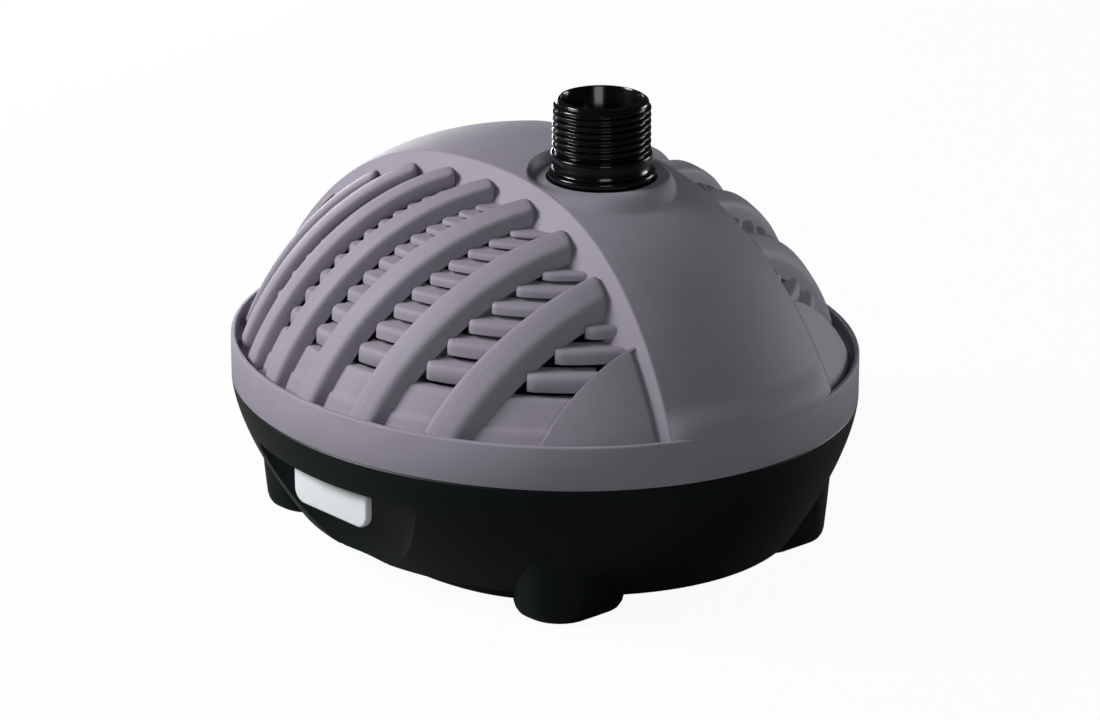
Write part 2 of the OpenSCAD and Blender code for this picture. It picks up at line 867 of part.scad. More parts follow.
volute_w = 5;
chamber_r = impeller_d / 2 + volute_w;
chamber_out_r = chamber_r + motor_wall;
chamber_room = 1;
chamber_in_l = 2 * (stub_r + gap) - motor_wall + chamber_room;
chamber_l = chamber_in_l + motor_wall;
ear_out = 1.5;
ear_ring_r = end_flange_r + ear_out;
ear_r = 5;
ear_t = 7;
end_flange_t = 4;
screw_head_r = 3.6;
screw_head_h = 2.6;
chamber_screw_l = 13;
mouth_r = 20;

ear_angles = [65, 155, 245, 335];
module ears(h) {
    for (a = ear_angles)
        rotate([0, 0, a]) {
            translate([ear_ring_r, 0, 0])
                cylinder(r = ear_r, h = h);
            translate([0, -ear_r, 0])
                cube([ear_ring_r, 2 * ear_r, h]);
        }
}

module at_ears() {
    for (a = ear_angles)
        rotate([0, 0, a])
            translate([ear_ring_r, 0, 0])
                children();
}

module pump_chamber() {
    color(motor_black)
        difference() {
            union() {
                on_axis(front_x)
                    cylinder(r = chamber_out_r, h = chamber_l);
                on_axis(front_x)
                    cylinder(r = end_flange_r, h = end_flange_t);
                on_axis(front_x)
                    ears(ear_t);
                translate([outlet_x, 0, pump_z])
                    cylinder(r = stub_r, h = stub_top_z - pump_z);
            }
            on_axis(front_x - over)
                cylinder(r = chamber_r, h = chamber_in_l + over);
            on_axis(front_x)
                cylinder(r = mouth_r, h = chamber_l + over);
            translate([outlet_x, 0, pump_z])
                cylinder(d = discharge_bore, h = stub_top_z - pump_z + over);
            on_axis(front_x - over)
                at_ears()
                    cylinder(r = screw_r + seat, h = ear_t + 2 * over);
        }
}

// Suction cover: an open nozzle with a three-armed spider that holds the front bush
nozzle_r = 13;
cover_lap = 4;
cover_flange_r = mouth_r + cover_lap;
cover_t = 2.5;
nozzle_l = 7;
bush_r = 5;
front_bush_l = 6;
spider_w = 3;
spider_arms = 3;
cover_x = front_x + chamber_l;

module inlet_cover() {
    color(motor_black)
        on_axis(cover_x)
            difference() {
                union() {
                    difference() {
                        union() {
                            cylinder(r = cover_flange_r, h = cover_t);
                            translate([0, 0, -motor_wall])
                                cylinder(r = mouth_r - seat, h = motor_wall + over);
                            cylinder(r = nozzle_r + cover_t, h = nozzle_l);
                        }
                        translate([0, 0, -motor_wall - over])
                            cylinder(r = nozzle_r, h = motor_wall + nozzle_l + 2 * over);
                    }
                    translate([0, 0, -motor_wall])
                        cylinder(r = bush_r + cover_t, h = front_bush_l + cover_t / 2);
                    for (i = [0 : spider_arms - 1])
                        rotate([0, 0, 360 * i / spider_arms])
                            translate([0, -spider_w / 2, -motor_wall])
                                cube([nozzle_r + cover_t / 2, spider_w, motor_wall]);
                }
                translate([0, 0, -motor_wall - over])
                    cylinder(r = bush_r + fit, h = front_bush_l + over);
            }
}

module front_bush() {
    color(motor_black)
        on_axis(cover_x - motor_wall)
            difference() {
                cylinder(r = bush_r, h = front_bush_l - seat);
                translate([0, 0, -over])
                    cylinder(r = shaft_d / 2 + fit, h = front_bush_l - motor_wall / 2 + over);
            }
}

seal_ring_r = motor_r;
module chamber_seal() {
    color(gloss_black)
        on_axis(front_x - seal_t + fit)
            difference() {
                cylinder(r = seal_ring_r + seal_t / 2, h = seal_t - 2 * fit);
                translate([0, 0, -over])
                    cylinder(r = seal_ring_r - seal_t / 2, h = seal_t + 2 * over);
            }
}

module chamber_screws() {
    color(steel_grey)
        on_axis(front_x)
            at_ears() {
                translate([0, 0, ear_t - chamber_screw_l])
                    cylinder(r = screw_r, h = chamber_screw_l);
                translate([0, 0, ear_t])
                    difference() {
                        cylinder(r = screw_head_r, h = screw_head_h);
                        translate([0, 0, screw_head_h / 2])
                            cylinder(r = screw_head_r / 2, h = screw_head_h, $fn = 6);
                    }
            }
}

// Motor housing: a sealed pot that holds the stator, open at the front
housing_bore_r = motor_r - motor_wall;
magnet_room = 0.5;
can_r = magnet_d / 2 + magnet_room;
can_wall = 1.2;
can_flange_t = 3;
motor_ear_t = 9;
cable_boss_l = 7;

module motor_housing() {
    color(motor_black)
        on_axis(motor_x)
            difference() {
                union() {
                    cylinder(r = motor_r, h = motor_l);
                    translate([0, 0, motor_l - motor_ear_t])
                        cylinder(r = end_flange_r, h = motor_ear_t);
                    translate([0, 0, motor_l - motor_ear_t])
                        ears(motor_ear_t);
                    translate([0, 0, -cable_boss_l])
                        cylinder(r = gland_d / 2, h = cable_boss_l + over);
                }
                translate([0, 0, motor_wall])
                    cylinder(r = housing_bore_r, h = motor_l);
                translate([0, 0, motor_l - seal_t])
                    difference() {
                        cylinder(r = seal_ring_r + seal_t / 2 + fit, h = seal_t + over);
                        translate([0, 0, -over])
                            cylinder(r = seal_ring_r - seal_t / 2 - fit, h = seal_t + 3 * over);
                    }
                translate([0, 0, motor_l - motor_ear_t - over])
                    at_ears()
                        cylinder(r = screw_r + fit, h = motor_ear_t + 2 * over);
                translate([0, 0, -cable_boss_l - over])
                    cylinder(d = gland_bore, h = cable_boss_l + motor_wall + 2 * over);
            }
}

// Stator: laminated ring with six teeth, and a coil on each tooth
can_room = 9.5;
can_end_t = 2;
rear_bush_l = 6;
magnet_play = 0.7;
magnet_l = motor_l - magnet_end_room;
stator_end_room = 56;
stator_l = motor_l - stator_end_room;
can_x = motor_x + can_room;
magnet_x = can_x + can_end_t + rear_bush_l + magnet_play;
stator_x = magnet_x + (magnet_l - stator_l) / 2;
tooth_count = 6;
tooth_w = 6.4;
yoke_t = 4.5;
stator_room = 0.2;
bore_r = can_r + can_wall + stator_room;

module stator_core() {
    color(steel_grey)
        on_axis(stator_x)
            difference() {
                union() {
                    difference() {
                        cylinder(r = housing_bore_r - seat, h = stator_l);
                        translate([0, 0, -over])
                            cylinder(r = housing_bore_r - yoke_t, h = stator_l + 2 * over);
                    }
                    for (i = [0 : tooth_count - 1])
                        rotate([0, 0, 360 * i / tooth_count])
                            translate([0, -tooth_w / 2, 0])
                                cube([housing_bore_r - yoke_t / 2, tooth_w, stator_l]);
                }
                translate([0, 0, -over])
                    cylinder(r = bore_r, h = stator_l + 2 * over);
            }
}

coil_t = 2.6;
coil_low_room = 0.6;
coil_high_room = 1.2;
coil_low_r = bore_r + coil_low_room;
coil_high_r = housing_bore_r - yoke_t - coil_high_room;
module stator_coils() {
    w = tooth_w + 2 * (seat + coil_t);
    color([0.72, 0.4, 0.2])
        on_axis(stator_x)
            for (i = [0 : tooth_count - 1])
                rotate([0, 0, 360 * i / tooth_count])
                    difference() {
                        translate([coil_low_r, -w / 2, -coil_t - seat])
                            cube([coil_high_r - coil_low_r, w, stator_l + 2 * (coil_t + seat)]);
                        translate([coil_low_r - over, -tooth_w / 2 - seat, -seat])
                            cube([coil_high_r, tooth_w + 2 * seat, stator_l + 2 * seat]);
                    }
}

// Rotor can: the thin sleeve that keeps water from the stator, with its flange under the chamber
module rotor_can() {
    color([0.2, 0.2, 0.23])
        on_axis(can_x)
            difference() {
                union() {
                    cylinder(r = can_r + can_wall, h = front_x - can_x);
                    translate([0, 0, front_x - can_x - can_flange_t])
                        cylinder(r = housing_bore_r - seat, h = can_flange_t);
                }
                translate([0, 0, can_end_t + rear_bush_l])
                    cylinder(r = can_r, h = front_x - can_x);
                translate([0, 0, can_end_t])
                    cylinder(r = bush_r + fit, h = rear_bush_l + over);
            }
}

module rear_bush() {
    color(gloss_black)
        on_axis(can_x + can_end_t + fit)
            difference() {
                cylinder(r = bush_r, h = rear_bush_l - seat);
                translate([0, 0, shaft_end])
                    cylinder(r = shaft_d / 2 + fit, h = rear_bush_l);
            }
}

shaft_end = 1;
shaft_low_x = can_x + can_end_t + shaft_end + 2 * fit;
shaft_high_x = cover_x - motor_wall / 2 + shaft_end;
module rotor_shaft() {
    color([0.93, 0.92, 0.88])
        on_axis(shaft_low_x)
            cylinder(d = shaft_d, h = shaft_high_x - shaft_low_x);
}

// Rotor: magnet and impeller turn together on the fixed shaft
hub_r = 6.5;
hub_x = magnet_x + magnet_l;
plate_room = 2.6;
plate_x = front_x + plate_room;
plate_t = 2;
vane_room = 3;
vane_h = chamber_in_l - plate_room - plate_t - vane_room;
vane_t = 2;
vane_lean = 34;
vane_share = 0.95;
run_bore_r = shaft_d / 2 + fit;

module rotor_magnet() {
    color([0.28, 0.28, 0.3])
        on_axis(magnet_x)
            difference() {
                cylinder(d = magnet_d, h = magnet_l);
                translate([0, 0, -over])
                    cylinder(r = run_bore_r, h = magnet_l + 2 * over);
            }
}

module impeller() {
    color([0.85, 0.84, 0.8])
        on_axis(hub_x)
            difference() {
                union() {
                    cylinder(r = hub_r, h = plate_x + plate_t + vane_h - hub_x);
                    translate([0, 0, plate_x - hub_x])
                        cylinder(d = impeller_d, h = plate_t);
                    for (i = [0 : vane_count - 1])
                        rotate([0, 0, 360 * i / vane_count])
                            translate([hub_r - vane_t, 0, plate_x + plate_t / 2 - hub_x])
                                rotate([0, 0, vane_lean])
                                    translate([0, -vane_t / 2, 0])
                                        cube([(impeller_d / 2 - hub_r) * vane_share, vane_t,
                                            plate_t / 2 + vane_h]);
                }
                translate([0, 0, -over])
                    cylinder(r = run_bore_r, h = body_l);
            }
}

// Clamp: a half band over the motor, screwed to the two posts
module motor_clamp() {
    r = motor_r + seat;
    color(steel_grey)
        difference() {
            union() {
                translate([clamp_x - clamp_w / 2, pump_y, pump_z])
                    rotate([0, 90, 0])
                        cylinder(r = r + clamp_t, h = clamp_w);
                translate([clamp_x - clamp_w / 2, pump_y - post_y - post_w / 2,
                    pump_z - clamp_t])
                    cube([clamp_w, 2 * post_y + post_w, clamp_t]);
            }
            translate([clamp_x - clamp_w, pump_y, pump_z])
                rotate([0, 90, 0])
                    cylinder(r = r, h = 2 * clamp_w);
            translate([clamp_x - clamp_w, pump_y - body_w / 2, 0])
                cube([2 * clamp_w, body_w, pump_z - clamp_t]);
            for (side = [-1, 1])
                translate([clamp_x, pump_y + side * post_y, pump_z - clamp_t - over])
                    cylinder(r = screw_r + seat, h = clamp_t + 2 * over);
        }
}

module clamp_screws() {
    color(steel_grey)
        for (side = [-1, 1])
            translate([clamp_x, pump_y + side * post_y, pump_z]) {
                translate([0, 0, over - clamp_screw_l])
                    cylinder(r = screw_r, h = clamp_screw_l - over);
                difference() {
                    cylinder(r = screw_head_r, h = screw_head_h);
                    translate([0, 0, screw_head_h / 2])
                        cylinder(r = screw_head_r / 2, h = screw_head_h, $fn = 6);
                }
            }
}

// Cable gland in the rear of the bowl, without its cord
gland_head_t = 2.6;
gland_nut_t = 4;
gland_nut_w = 2.5;
gland_room = 1;
gland_nut_r = gland_d / 2 + gland_nut_w;
module cable_gland() {
    color(gloss_black)
        translate([-gland_seat_x - gland_head_t, 0, gland_z])
            rotate([0, 90, 0])
                difference() {
                    union() {
                        cylinder(r = gland_boss_r - gland_room, h = gland_head_t);
                        cylinder(d = gland_d, h = gland_head_t + gland_boss_l + gland_nut_t);
                        translate([0, 0, gland_head_t + gland_boss_l + seat])
                            cylinder(r = gland_nut_r, h = gland_nut_t - seat, $fn = 6);
                    }
                    translate([0, 0, -over])
                        cylinder(d = gland_bore, h = gland_seat_x);
                }
}

upper_shell();
lower_shell();
latch_front();
latch_back();
latch_pin_front();
latch_pin_back();
latch_spring_front();
latch_spring_back();
outlet_fitting();
outlet_seal();
riser_pipe();
pump_chamber();
inlet_cover();
chamber_seal();
chamber_screws();
motor_housing();
stator_core();
stator_coils();
rotor_can();
rear_bush();
front_bush();
rotor_shaft();
rotor_magnet();
impeller();
motor_clamp();
clamp_screws();
cable_gland();
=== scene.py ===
import json
import math

import bpy
import numpy as np
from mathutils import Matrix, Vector


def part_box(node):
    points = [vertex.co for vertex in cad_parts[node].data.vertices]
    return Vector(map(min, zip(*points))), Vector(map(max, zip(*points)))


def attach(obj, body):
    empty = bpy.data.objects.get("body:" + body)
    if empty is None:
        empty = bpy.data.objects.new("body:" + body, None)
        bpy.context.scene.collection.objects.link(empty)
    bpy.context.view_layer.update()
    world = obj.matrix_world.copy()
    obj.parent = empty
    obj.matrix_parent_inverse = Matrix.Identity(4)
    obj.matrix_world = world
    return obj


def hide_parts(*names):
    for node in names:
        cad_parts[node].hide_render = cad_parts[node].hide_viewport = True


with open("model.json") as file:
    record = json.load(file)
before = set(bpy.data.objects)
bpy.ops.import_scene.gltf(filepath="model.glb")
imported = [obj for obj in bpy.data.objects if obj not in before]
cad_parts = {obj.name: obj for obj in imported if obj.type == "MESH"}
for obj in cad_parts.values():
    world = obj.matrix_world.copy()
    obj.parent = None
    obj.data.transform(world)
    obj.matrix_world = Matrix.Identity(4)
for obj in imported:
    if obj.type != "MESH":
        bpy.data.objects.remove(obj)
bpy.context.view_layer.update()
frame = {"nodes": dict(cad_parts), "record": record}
scene = bpy.context.scene
MM = 0.001

# The housing, in millimetres, read from the frame where the frame holds it
shell_high = np.array(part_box("upper_shell")[1]) / MM
outlet_low, outlet_high = (np.array(c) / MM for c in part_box("outlet_fitting"))
HALF_L = shell_high[0]
HALF_W = shell_high[1]
OUTLET_X = (outlet_low[0] + outlet_high[0]) / 2
OUTLET_TOP = outlet_high[2]
SEAM_Z = 52.6
RIM_Z = 67.8
WALL = 3.0

# Dome: height over plan radius, as a rounded crown with steep sides
CROWN_POWER = 2.85
SIDE_POWER = 1.2
DOME_BASE_Z = 61.5
DOME_H = 74.5


def full_turn(count):
    """Angles evenly round a circle."""
    return np.linspace(0, 2 * math.pi, count + 1)[:-1]


def quarter_sine(count):
    """Shares from 0 to 1 that crowd towards 1."""
    return np.sin(np.linspace(0, math.pi / 2, count))


def dome_z(x, y, inset):
    """Height of the dome set in by some depth, over a point of the plan."""
    u = np.hypot(x / (HALF_L - inset), y / (HALF_W - inset))
    return DOME_BASE_Z + (DOME_H - inset) * np.maximum(0, 1 - u**CROWN_POWER) ** (1 / SIDE_POWER)


def dome_u(z, inset):
    """Share of the plan radius at which the dome set in by some depth passes a height."""
    share = np.clip((z - DOME_BASE_Z) / (DOME_H - inset), 0, 1)
    return (1 - share**SIDE_POWER) ** (1 / CROWN_POWER)


def on_dome(x, y, inset, low_z):
    """Points of the plan lifted onto the dome; those past a height's outline are drawn in to it."""
    x, y, inset = np.broadcast_arrays(*(np.asarray(v, float) for v in (x, y, inset)))
    u = np.hypot(x / (HALF_L - inset), y / (HALF_W - inset))
    shrink = np.minimum(1, dome_u(low_z, inset) / np.maximum(u, 1e-9))
    x, y = x * shrink, y * shrink
    return np.stack([x, y, dome_z(x, y, inset)], -1)


def add_mesh(name, points, faces, smooth=True):
    """A mesh object from points in millimetres."""
    mesh = bpy.data.meshes.new(name)
    mesh.from_pydata((np.asarray(points, float).reshape(-1, 3) * MM).tolist(), [], faces)
    mesh.polygons.foreach_set("use_smooth", [smooth] * len(mesh.polygons))
    mesh.update()
    obj = bpy.data.objects.new(name, mesh)
    scene.collection.objects.link(obj)
    return obj


def grid_faces(rows, columns, closed=False, start=0, flip=False):
    """Faces of a grid of points, whose columns may run round into a ring."""
    faces = []
    for i in range(rows - 1):
        for j in range(columns if closed else columns - 1):
            k = (j + 1) % columns
            face = [i * columns + j, i * columns + k, (i + 1) * columns + k, (i + 1) * columns + j]
            faces.append([start + v for v in (face[::-1] if flip else face)])
    return faces


SMOOTH_ANGLE = 40


class Pieces:
    """Gathers grids of points into one mesh."""

    def __init__(self):
        self.points, self.faces, self.count = [], [], 0

    def grid(self, points, closed=False, flip=False, keep=None):
        """Adds a grid of points; a face with a corner that isn't kept is left out."""
        rows, columns = points.shape[:2]
        faces = grid_faces(rows, columns, closed, self.count, flip)
        if keep is not None:
            flat = keep.reshape(-1)
            faces = [f for f in faces if all(flat[v - self.count] for v in f)]
        self.points.append(points.reshape(-1, 3))
        self.faces += faces
        self.count += rows * columns

    def cap(self, outline, flip):
        """One face over an outline of its own points."""
        order = list(range(self.count, self.count + len(outline)))
        self.points.append(outline)
        self.faces.append(order[::-1] if flip else order)
        self.count += len(outline)

    def mirrored(self, points, **options):
        """The same grid on both sides of the band."""
        self.grid(points, **options)
        other = dict(options, flip=not options.get("flip", False))
        self.grid(points * np.array([1, -1, 1]), **other)

    def finish(self, name, smooth_angle=SMOOTH_ANGLE):
        """Makes one object of what was gathered."""
        obj = add_mesh(name, np.concatenate(self.points), self.faces)
        sharpen(obj, smooth_angle)
        return obj


def sharpen(obj, angle):
    """Smooth shading that keeps the edges over an angle sharp."""
    bpy.context.view_layer.objects.active = obj
    for other in bpy.context.selected_objects:
        other.select_set(False)
    obj.select_set(True)
    bpy.ops.object.shade_smooth_by_angle(angle=math.radians(angle))


# Smooth band over the crown, with a dish round the outlet that fades out on its front side
BAND_HALF_CROWN = 25.0
BAND_HALF_RIM = 38.0
BAND_ROWS = 65
BAND_COLUMNS = 241
FIT_ROUNDS = 12
CHANNEL_Z = 63.6
DISH_Z = 132.3
DISH_R = 23.0
DISH_FILLET = 1.6
DISH_FRONT = (0.75, -0.66)
DISH_FRONT_SHARES = (-0.2, 0.9)
DISH_FADE_R = 2.6
DISH_FADE = 7.0
HOLE_R = 18.8
HOLE_DEPTH = 6.0
PATCH_R = 31.0
PATCH_LAP = 3.0
PATCH_LIFT = 0.02
PATCH_RINGS = 60
PATCH_TURNS = 128

# Foot of the band, where it runs out into the rim
APRON_TOP_Z = 78.0
APRON_LOW_Z = 67.0
APRON_ROWS = 24
APRON_COLUMNS = 61
APRON_EDGE_POWER = 8

# Sloped wall beside the band: [distance out from its edge, depth]
COVE_PROFILE = [(0, 0), (0.3, 0.06), (0.6, 0.28), (0.85, 0.7), (1.2, 1.1), (2.0, 2.0), (3.2, 3.5), (4.6, 5.2),
                (6.0, 6.8), (7.0, 8.4), (7.4, 10.5)]


def band_half(x):
    """Half width of the band, which widens towards the rim."""
    return BAND_HALF_CROWN + (BAND_HALF_RIM - BAND_HALF_CROWN) * (x / HALF_L) ** 2


def smooth_step(low, high, value):
    """0 to 1 between two levels, level at both."""
    t = np.clip((value - low) / (high - low), 0, 1)
    return t * t * (3 - 2 * t)


def crown_z(x, y):
    """Height of the band, with the dish let in round the outlet."""
    r = np.hypot(x - OUTLET_X, y)
    facing = ((x - OUTLET_X) * DISH_FRONT[0] + y * DISH_FRONT[1]) / np.maximum(r, 1)
    front = smooth_step(*DISH_FRONT_SHARES, facing)
    start = DISH_R - DISH_FADE_R * front
    share = smooth_step(start, start + DISH_FILLET + DISH_FADE * front, r)
    return DISH_Z + (dome_z(x, y, 0) - DISH_Z) * share


def band_columns(t, count, inset):
    """Plan points along the band at a share of its half width, from one end to the other."""
    u = dome_u(CHANNEL_Z, inset)
    end = HALF_L * u
    for _ in range(FIT_ROUNDS):
        y = t * band_half(end)
        end = (HALF_L - inset) * u * math.sqrt(1 - (y / ((HALF_W - inset) * u)) ** 2)
    x = end * np.sin(np.linspace(-math.pi / 2, math.pi / 2, count))
    return x, t * band_half(x)


def make_band(pieces):
    """The smooth band, with a finer patch round the outlet's hole."""
    rows = []
    for t in np.linspace(-1, 1, BAND_ROWS):
        x, y = band_columns(t, BAND_COLUMNS, 0)
        rows.append(np.stack([x, y, crown_z(x, y)], -1))
    band = np.array(rows)
    clear = np.hypot(band[..., 0] - OUTLET_X, band[..., 1]) > PATCH_R - PATCH_LAP
    pieces.grid(band, keep=clear)
    radii = np.linspace(HOLE_R, PATCH_R, PATCH_RINGS)
    angles = full_turn(PATCH_TURNS)
    x = OUTLET_X + np.outer(radii, np.cos(angles))
    y = np.clip(np.outer(radii, np.sin(angles)), -band_half(x), band_half(x))
    patch = np.stack([x, y, crown_z(x, y) + PATCH_LIFT], -1)
    hole = patch[:1] * [1, 1, 0] + [0, 0, DISH_Z - HOLE_DEPTH]
    pieces.grid(np.concatenate([hole, patch]), closed=True)


def make_apron(pieces):
    """The band's foot at both ends of the housing, with a wall turned in at its two edges."""
    z = np.linspace(APRON_TOP_Z, APRON_LOW_Z, APRON_ROWS)[:, None]
    share = np.concatenate([[-1], np.linspace(-1, 1, APRON_COLUMNS), [1]])[None]
    turned_in = np.zeros_like(share)
    turned_in[:, [0, -1]] = WALL
    u = dome_u(z, 0)
    push = (1 - smooth_step(APRON_LOW_Z, APRON_TOP_Z, z)) * (1 - share**APRON_EDGE_POWER)
    u = u + (1 - u) * push
    x = HALF_L * u
    for _ in range(FIT_ROUNDS):
        y = share * band_half(x)
        x = HALF_L * u * np.sqrt(1 - (y / (HALF_W * u)) ** 2)
    for end in (-1, 1):
        foot = np.broadcast_arrays(end * (x - turned_in), y, z)
        pieces.grid(np.stack(foot, -1), flip=end > 0)


def make_band_edges(pieces):
    """The band's rounded edge and the sloped wall from it down to the louvres."""
    x, y = band_columns(1, BAND_COLUMNS, 0)
    dx, dy = np.gradient(x), np.gradient(y)
    length = np.hypot(dx, dy)
    normal = np.stack([-dy / length, dx / length], -1)
    rows = [on_dome(x + normal[:, 0] * out, y + normal[:, 1] * out, inset, CHANNEL_Z)
            for out, inset in COVE_PROFILE]
    pieces.mirrored(np.array(rows))


# Ribs: foot and head given as shares of the half length
RIB_FOOT_SHARES = [-0.77, -0.62, -0.46, -0.285, -0.085, 0.155, 0.417]
RIB_HEAD_SHARES = [-0.455, -0.285, -0.12, 0.055, 0.24, 0.42, 0.59]
RIB_W = 8.4
RIB_DROP = 2.5
RIB_FOOT_INSET = 2.0
RIB_BOW_SHARE = 0.03
RIB_POINTS = 60
HEAD_ROOM = 3.0
HEAD_REACH_SHARE = 0.8
HEAD_SQUARE_POWER = 0.5
HEAD_TURNS = 17

# Half of a rib's section: [distance out on a rib of this half width, depth]
RIB_PROFILE_HALF = 4.3
RIB_PROFILE = [(0, 0), (2.0, 0.02), (3.0, 0.12), (3.55, 0.35), (3.95, 0.8), (4.15, 1.5), (4.25, 3.0),
               (RIB_PROFILE_HALF, 5.2), (4.0, 5.6), (0, 5.6)]
RIB_CORE_W = 0.01

# Blank fields at the rear (-1) and the front (1), whose inner edge is a rounded step beside the cove
BLANK_FOOT_SHARES = {-1: -0.9, 1: 0.672}
BLANK_HEAD_SHARES = {-1: -0.62, 1: 0.75}
BLANK_REACH_SHARE = 0.985
BLANK_COLUMNS = 60
BLANK_ROWS = 40
COVE_W = 4.6
BLANK_RIM_INSET = 1.0
BLANK_EDGE = [(-0.8, 4.5), (-0.7, 1.2), (-0.45, 0.35), (0, 0.05)]
BLANK_EDGE_W = 0.4
BLANK_WALL = [(-0.7, 0), (-0.2, 0.08), (0.2, 0.3), (0.5, 0.75), (0.65, 1.4), (0.8, 7.5)]


def rim_y(x, inset):
    """Half width of the housing's outline set in by some depth."""
    return (HALF_W - inset) * np.sqrt(np.maximum(0, 1 - (x / (HALF_L - inset)) ** 2))


def rib_line(foot_share, head_share, count):
    """Centre line of a rib in plan, bowed a little towards the band's front end."""
    foot = np.array([foot_share * HALF_L, rim_y(foot_share * HALF_L, RIB_FOOT_INSET)])
    head = np.array([head_share * HALF_L, band_half(head_share * HALF_L) + RIB_W / 2 + HEAD_ROOM])
    run = head - foot
    side = np.array([run[1], -run[0]])
    s = quarter_sine(count)[:, None]
    return foot + run * s - side * RIB_BOW_SHARE * np.sin(math.pi * s)


def unit_steps(line):
    """Direction of a line in plan at each of its points."""
    along = np.gradient(line, axis=0)
    return along / np.linalg.norm(along, axis=1)[:, None]


def make_ribs(pieces):
    """Bowed ribs from the rim up to the band, with squared heads."""
    turns = np.linspace(-math.pi / 2, math.pi / 2, HEAD_TURNS)
    ahead = HEAD_REACH_SHARE * np.cos(turns) ** HEAD_SQUARE_POWER
    across = np.sign(np.sin(turns)) * np.abs(np.sin(turns)) ** HEAD_SQUARE_POWER
    for foot_share, head_share in zip(RIB_FOOT_SHARES, RIB_HEAD_SHARES):
        line = rib_line(foot_share, head_share, RIB_POINTS)
        along = unit_steps(line)
        side = np.stack([along[:, 1], -along[:, 0]], -1)
        rows = []
        for out, drop in RIB_PROFILE:
            w = max(out * (RIB_W / 2 / RIB_PROFILE_HALF), RIB_CORE_W)
            tip = line[-1] + w * (np.outer(ahead, along[-1]) - np.outer(across, side[-1]))
            outline = np.concatenate([line + side * w, tip[1:-1], (line - side * w)[::-1]])
            rows.append(on_dome(outline[:, 0], outline[:, 1], RIB_DROP + drop, CHANNEL_Z))
        pieces.mirrored(np.array(rows), flip=True)


def blank_ends(end):
    """Foot and head of a blank field's edge in plan."""
    foot_x, head_x = BLANK_FOOT_SHARES[end] * HALF_L, BLANK_HEAD_SHARES[end] * HALF_L
    return np.array([foot_x, rim_y(foot_x, 0)]), np.array([head_x, band_half(head_x)])


def make_blank(pieces, end):
    """A blank field, and the wall under its edge beside the louvres."""
    foot, head = blank_ends(end)
    outer = end * HALF_L * dome_u(CHANNEL_Z, RIB_DROP) * BLANK_REACH_SHARE
    near_x = min(abs(foot[0]), abs(head[0])) * end
    x = near_x + (outer - near_x) * quarter_sine(BLANK_COLUMNS)
    line = foot[1] + (head[1] - foot[1]) * (x - foot[0]) / (head[0] - foot[0])
    inner, top = band_half(x) + COVE_W, rim_y(x, BLANK_RIM_INSET)
    if end > 0:
        inner = np.where(x < head[0], np.maximum(line, inner), inner)
    else:
        top = np.where(x > foot[0], np.minimum(line, top), top)
    width = np.maximum(np.maximum(top, inner) - inner - BLANK_EDGE_W, 0)
    rows = [(inner + out, drop) for out, drop in BLANK_EDGE]
    rows += [(inner + BLANK_EDGE_W + width * s, 0) for s in quarter_sine(BLANK_ROWS)]
    field = np.array([on_dome(x, y, RIB_DROP + drop, CHANNEL_Z) for y, drop in rows])
    pieces.mirrored(field, flip=end < 0)
    run = head - foot
    away = np.array([-run[1], run[0]]) / np.hypot(*run)
    away *= -end * math.copysign(1, away[0])
    start = foot + run * quarter_sine(BLANK_COLUMNS)[:, None]
    wall = [on_dome(start[:, 0] + away[0] * out, start[:, 1] + away[1] * out, RIB_DROP + drop, CHANNEL_Z)
            for out, drop in BLANK_WALL]
    pieces.mirrored(np.array(wall), flip=end > 0)


# Louvres: rounded planks in steps of equal tread in plan, on the dome set in by LOUVRE_DROP
LOUVRE_DROP = 7.0
LOUVRE_FIRST_SHARE = 0.915
LOUVRE_TREAD = 4.75
LOUVRE_COUNT = 11
SLOT_SHARE = 0.24
LOUVRE_STEP = LOUVRE_TREAD / (HALF_W - LOUVRE_DROP)
DEEP_L = HALF_L - LOUVRE_DROP
DEEP_W = HALF_W - LOUVRE_DROP
RING = full_turn(256)

# A plank's face from its foot up: [inset, share of the rise to the next plank]
PLANK_FACE = [(1.5, -0.06), (0.3, -0.02), (0, 0.03), (0.05, 0.4), (0.3, 0.56), (0.8, 0.66), (1.7, 0.73)]
TREAD_EDGE = [(0.6, -0.25), (1.2, 0)]
TREAD_BACK = 3.0
PLANK_T = 1.6
HEEL_INSET = 2.6
HEEL_SHARE = 0.45
PLANK_END_STEPS = 22
PLANK_STEPS = 14
PLANK_END_SHARE = 0.35
END_GAP = 2.3
END_R = 1.6
END_DRAW_SHARE = 0.6
BAND_LAP = 1.0

# Plate at the louvres' foot, with a small step near the rim
STEP = 0.5
STEP_RISE = 1.8
STEP_BEVEL = 0.3
PLATE_T = 3.0
PLATE_BACK = 0.5
PLATE_ROWS = 7
PLATE_FACE_ENDS = (0.4, -0.8)
PLATE_EDGE_SHAPE = [(0.2, -0.25), (0.9, 0)]


def ring_rows(sections, power=2.0):
    """Oval rings, one per [half length, half width, height]."""
    c, s = np.cos(RING), np.sin(RING)
    c = np.sign(c) * np.abs(c) ** (2 / power)
    s = np.sign(s) * np.abs(s) ** (2 / power)
    return np.array([np.stack([l * c, w * s, np.full_like(c, z)], -1) for l, w, z in sections])


def louvre_u(k):
    """Share of the plan radius at a plank's foot."""
    return LOUVRE_FIRST_SHARE - k * LOUVRE_STEP


def louvre_z(k):
    """Height of a plank's foot."""
    return dome_z(0, DEEP_W * louvre_u(k), LOUVRE_DROP)


def rib_boundaries():
    """Lines in plan that part the fields of planks, from the rear end to the front end."""
    ribs = [rib_line(foot, head, RIB_POINTS) for foot, head in zip(RIB_FOOT_SHARES, RIB_HEAD_SHARES)]
    return [np.array(blank_ends(-1))] + ribs + [np.array(blank_ends(1))]


CARRY_FOOT_SHARE = 0.25
CARRY_HEAD_SHARE = 0.4
CROSSING_STEPS = 800


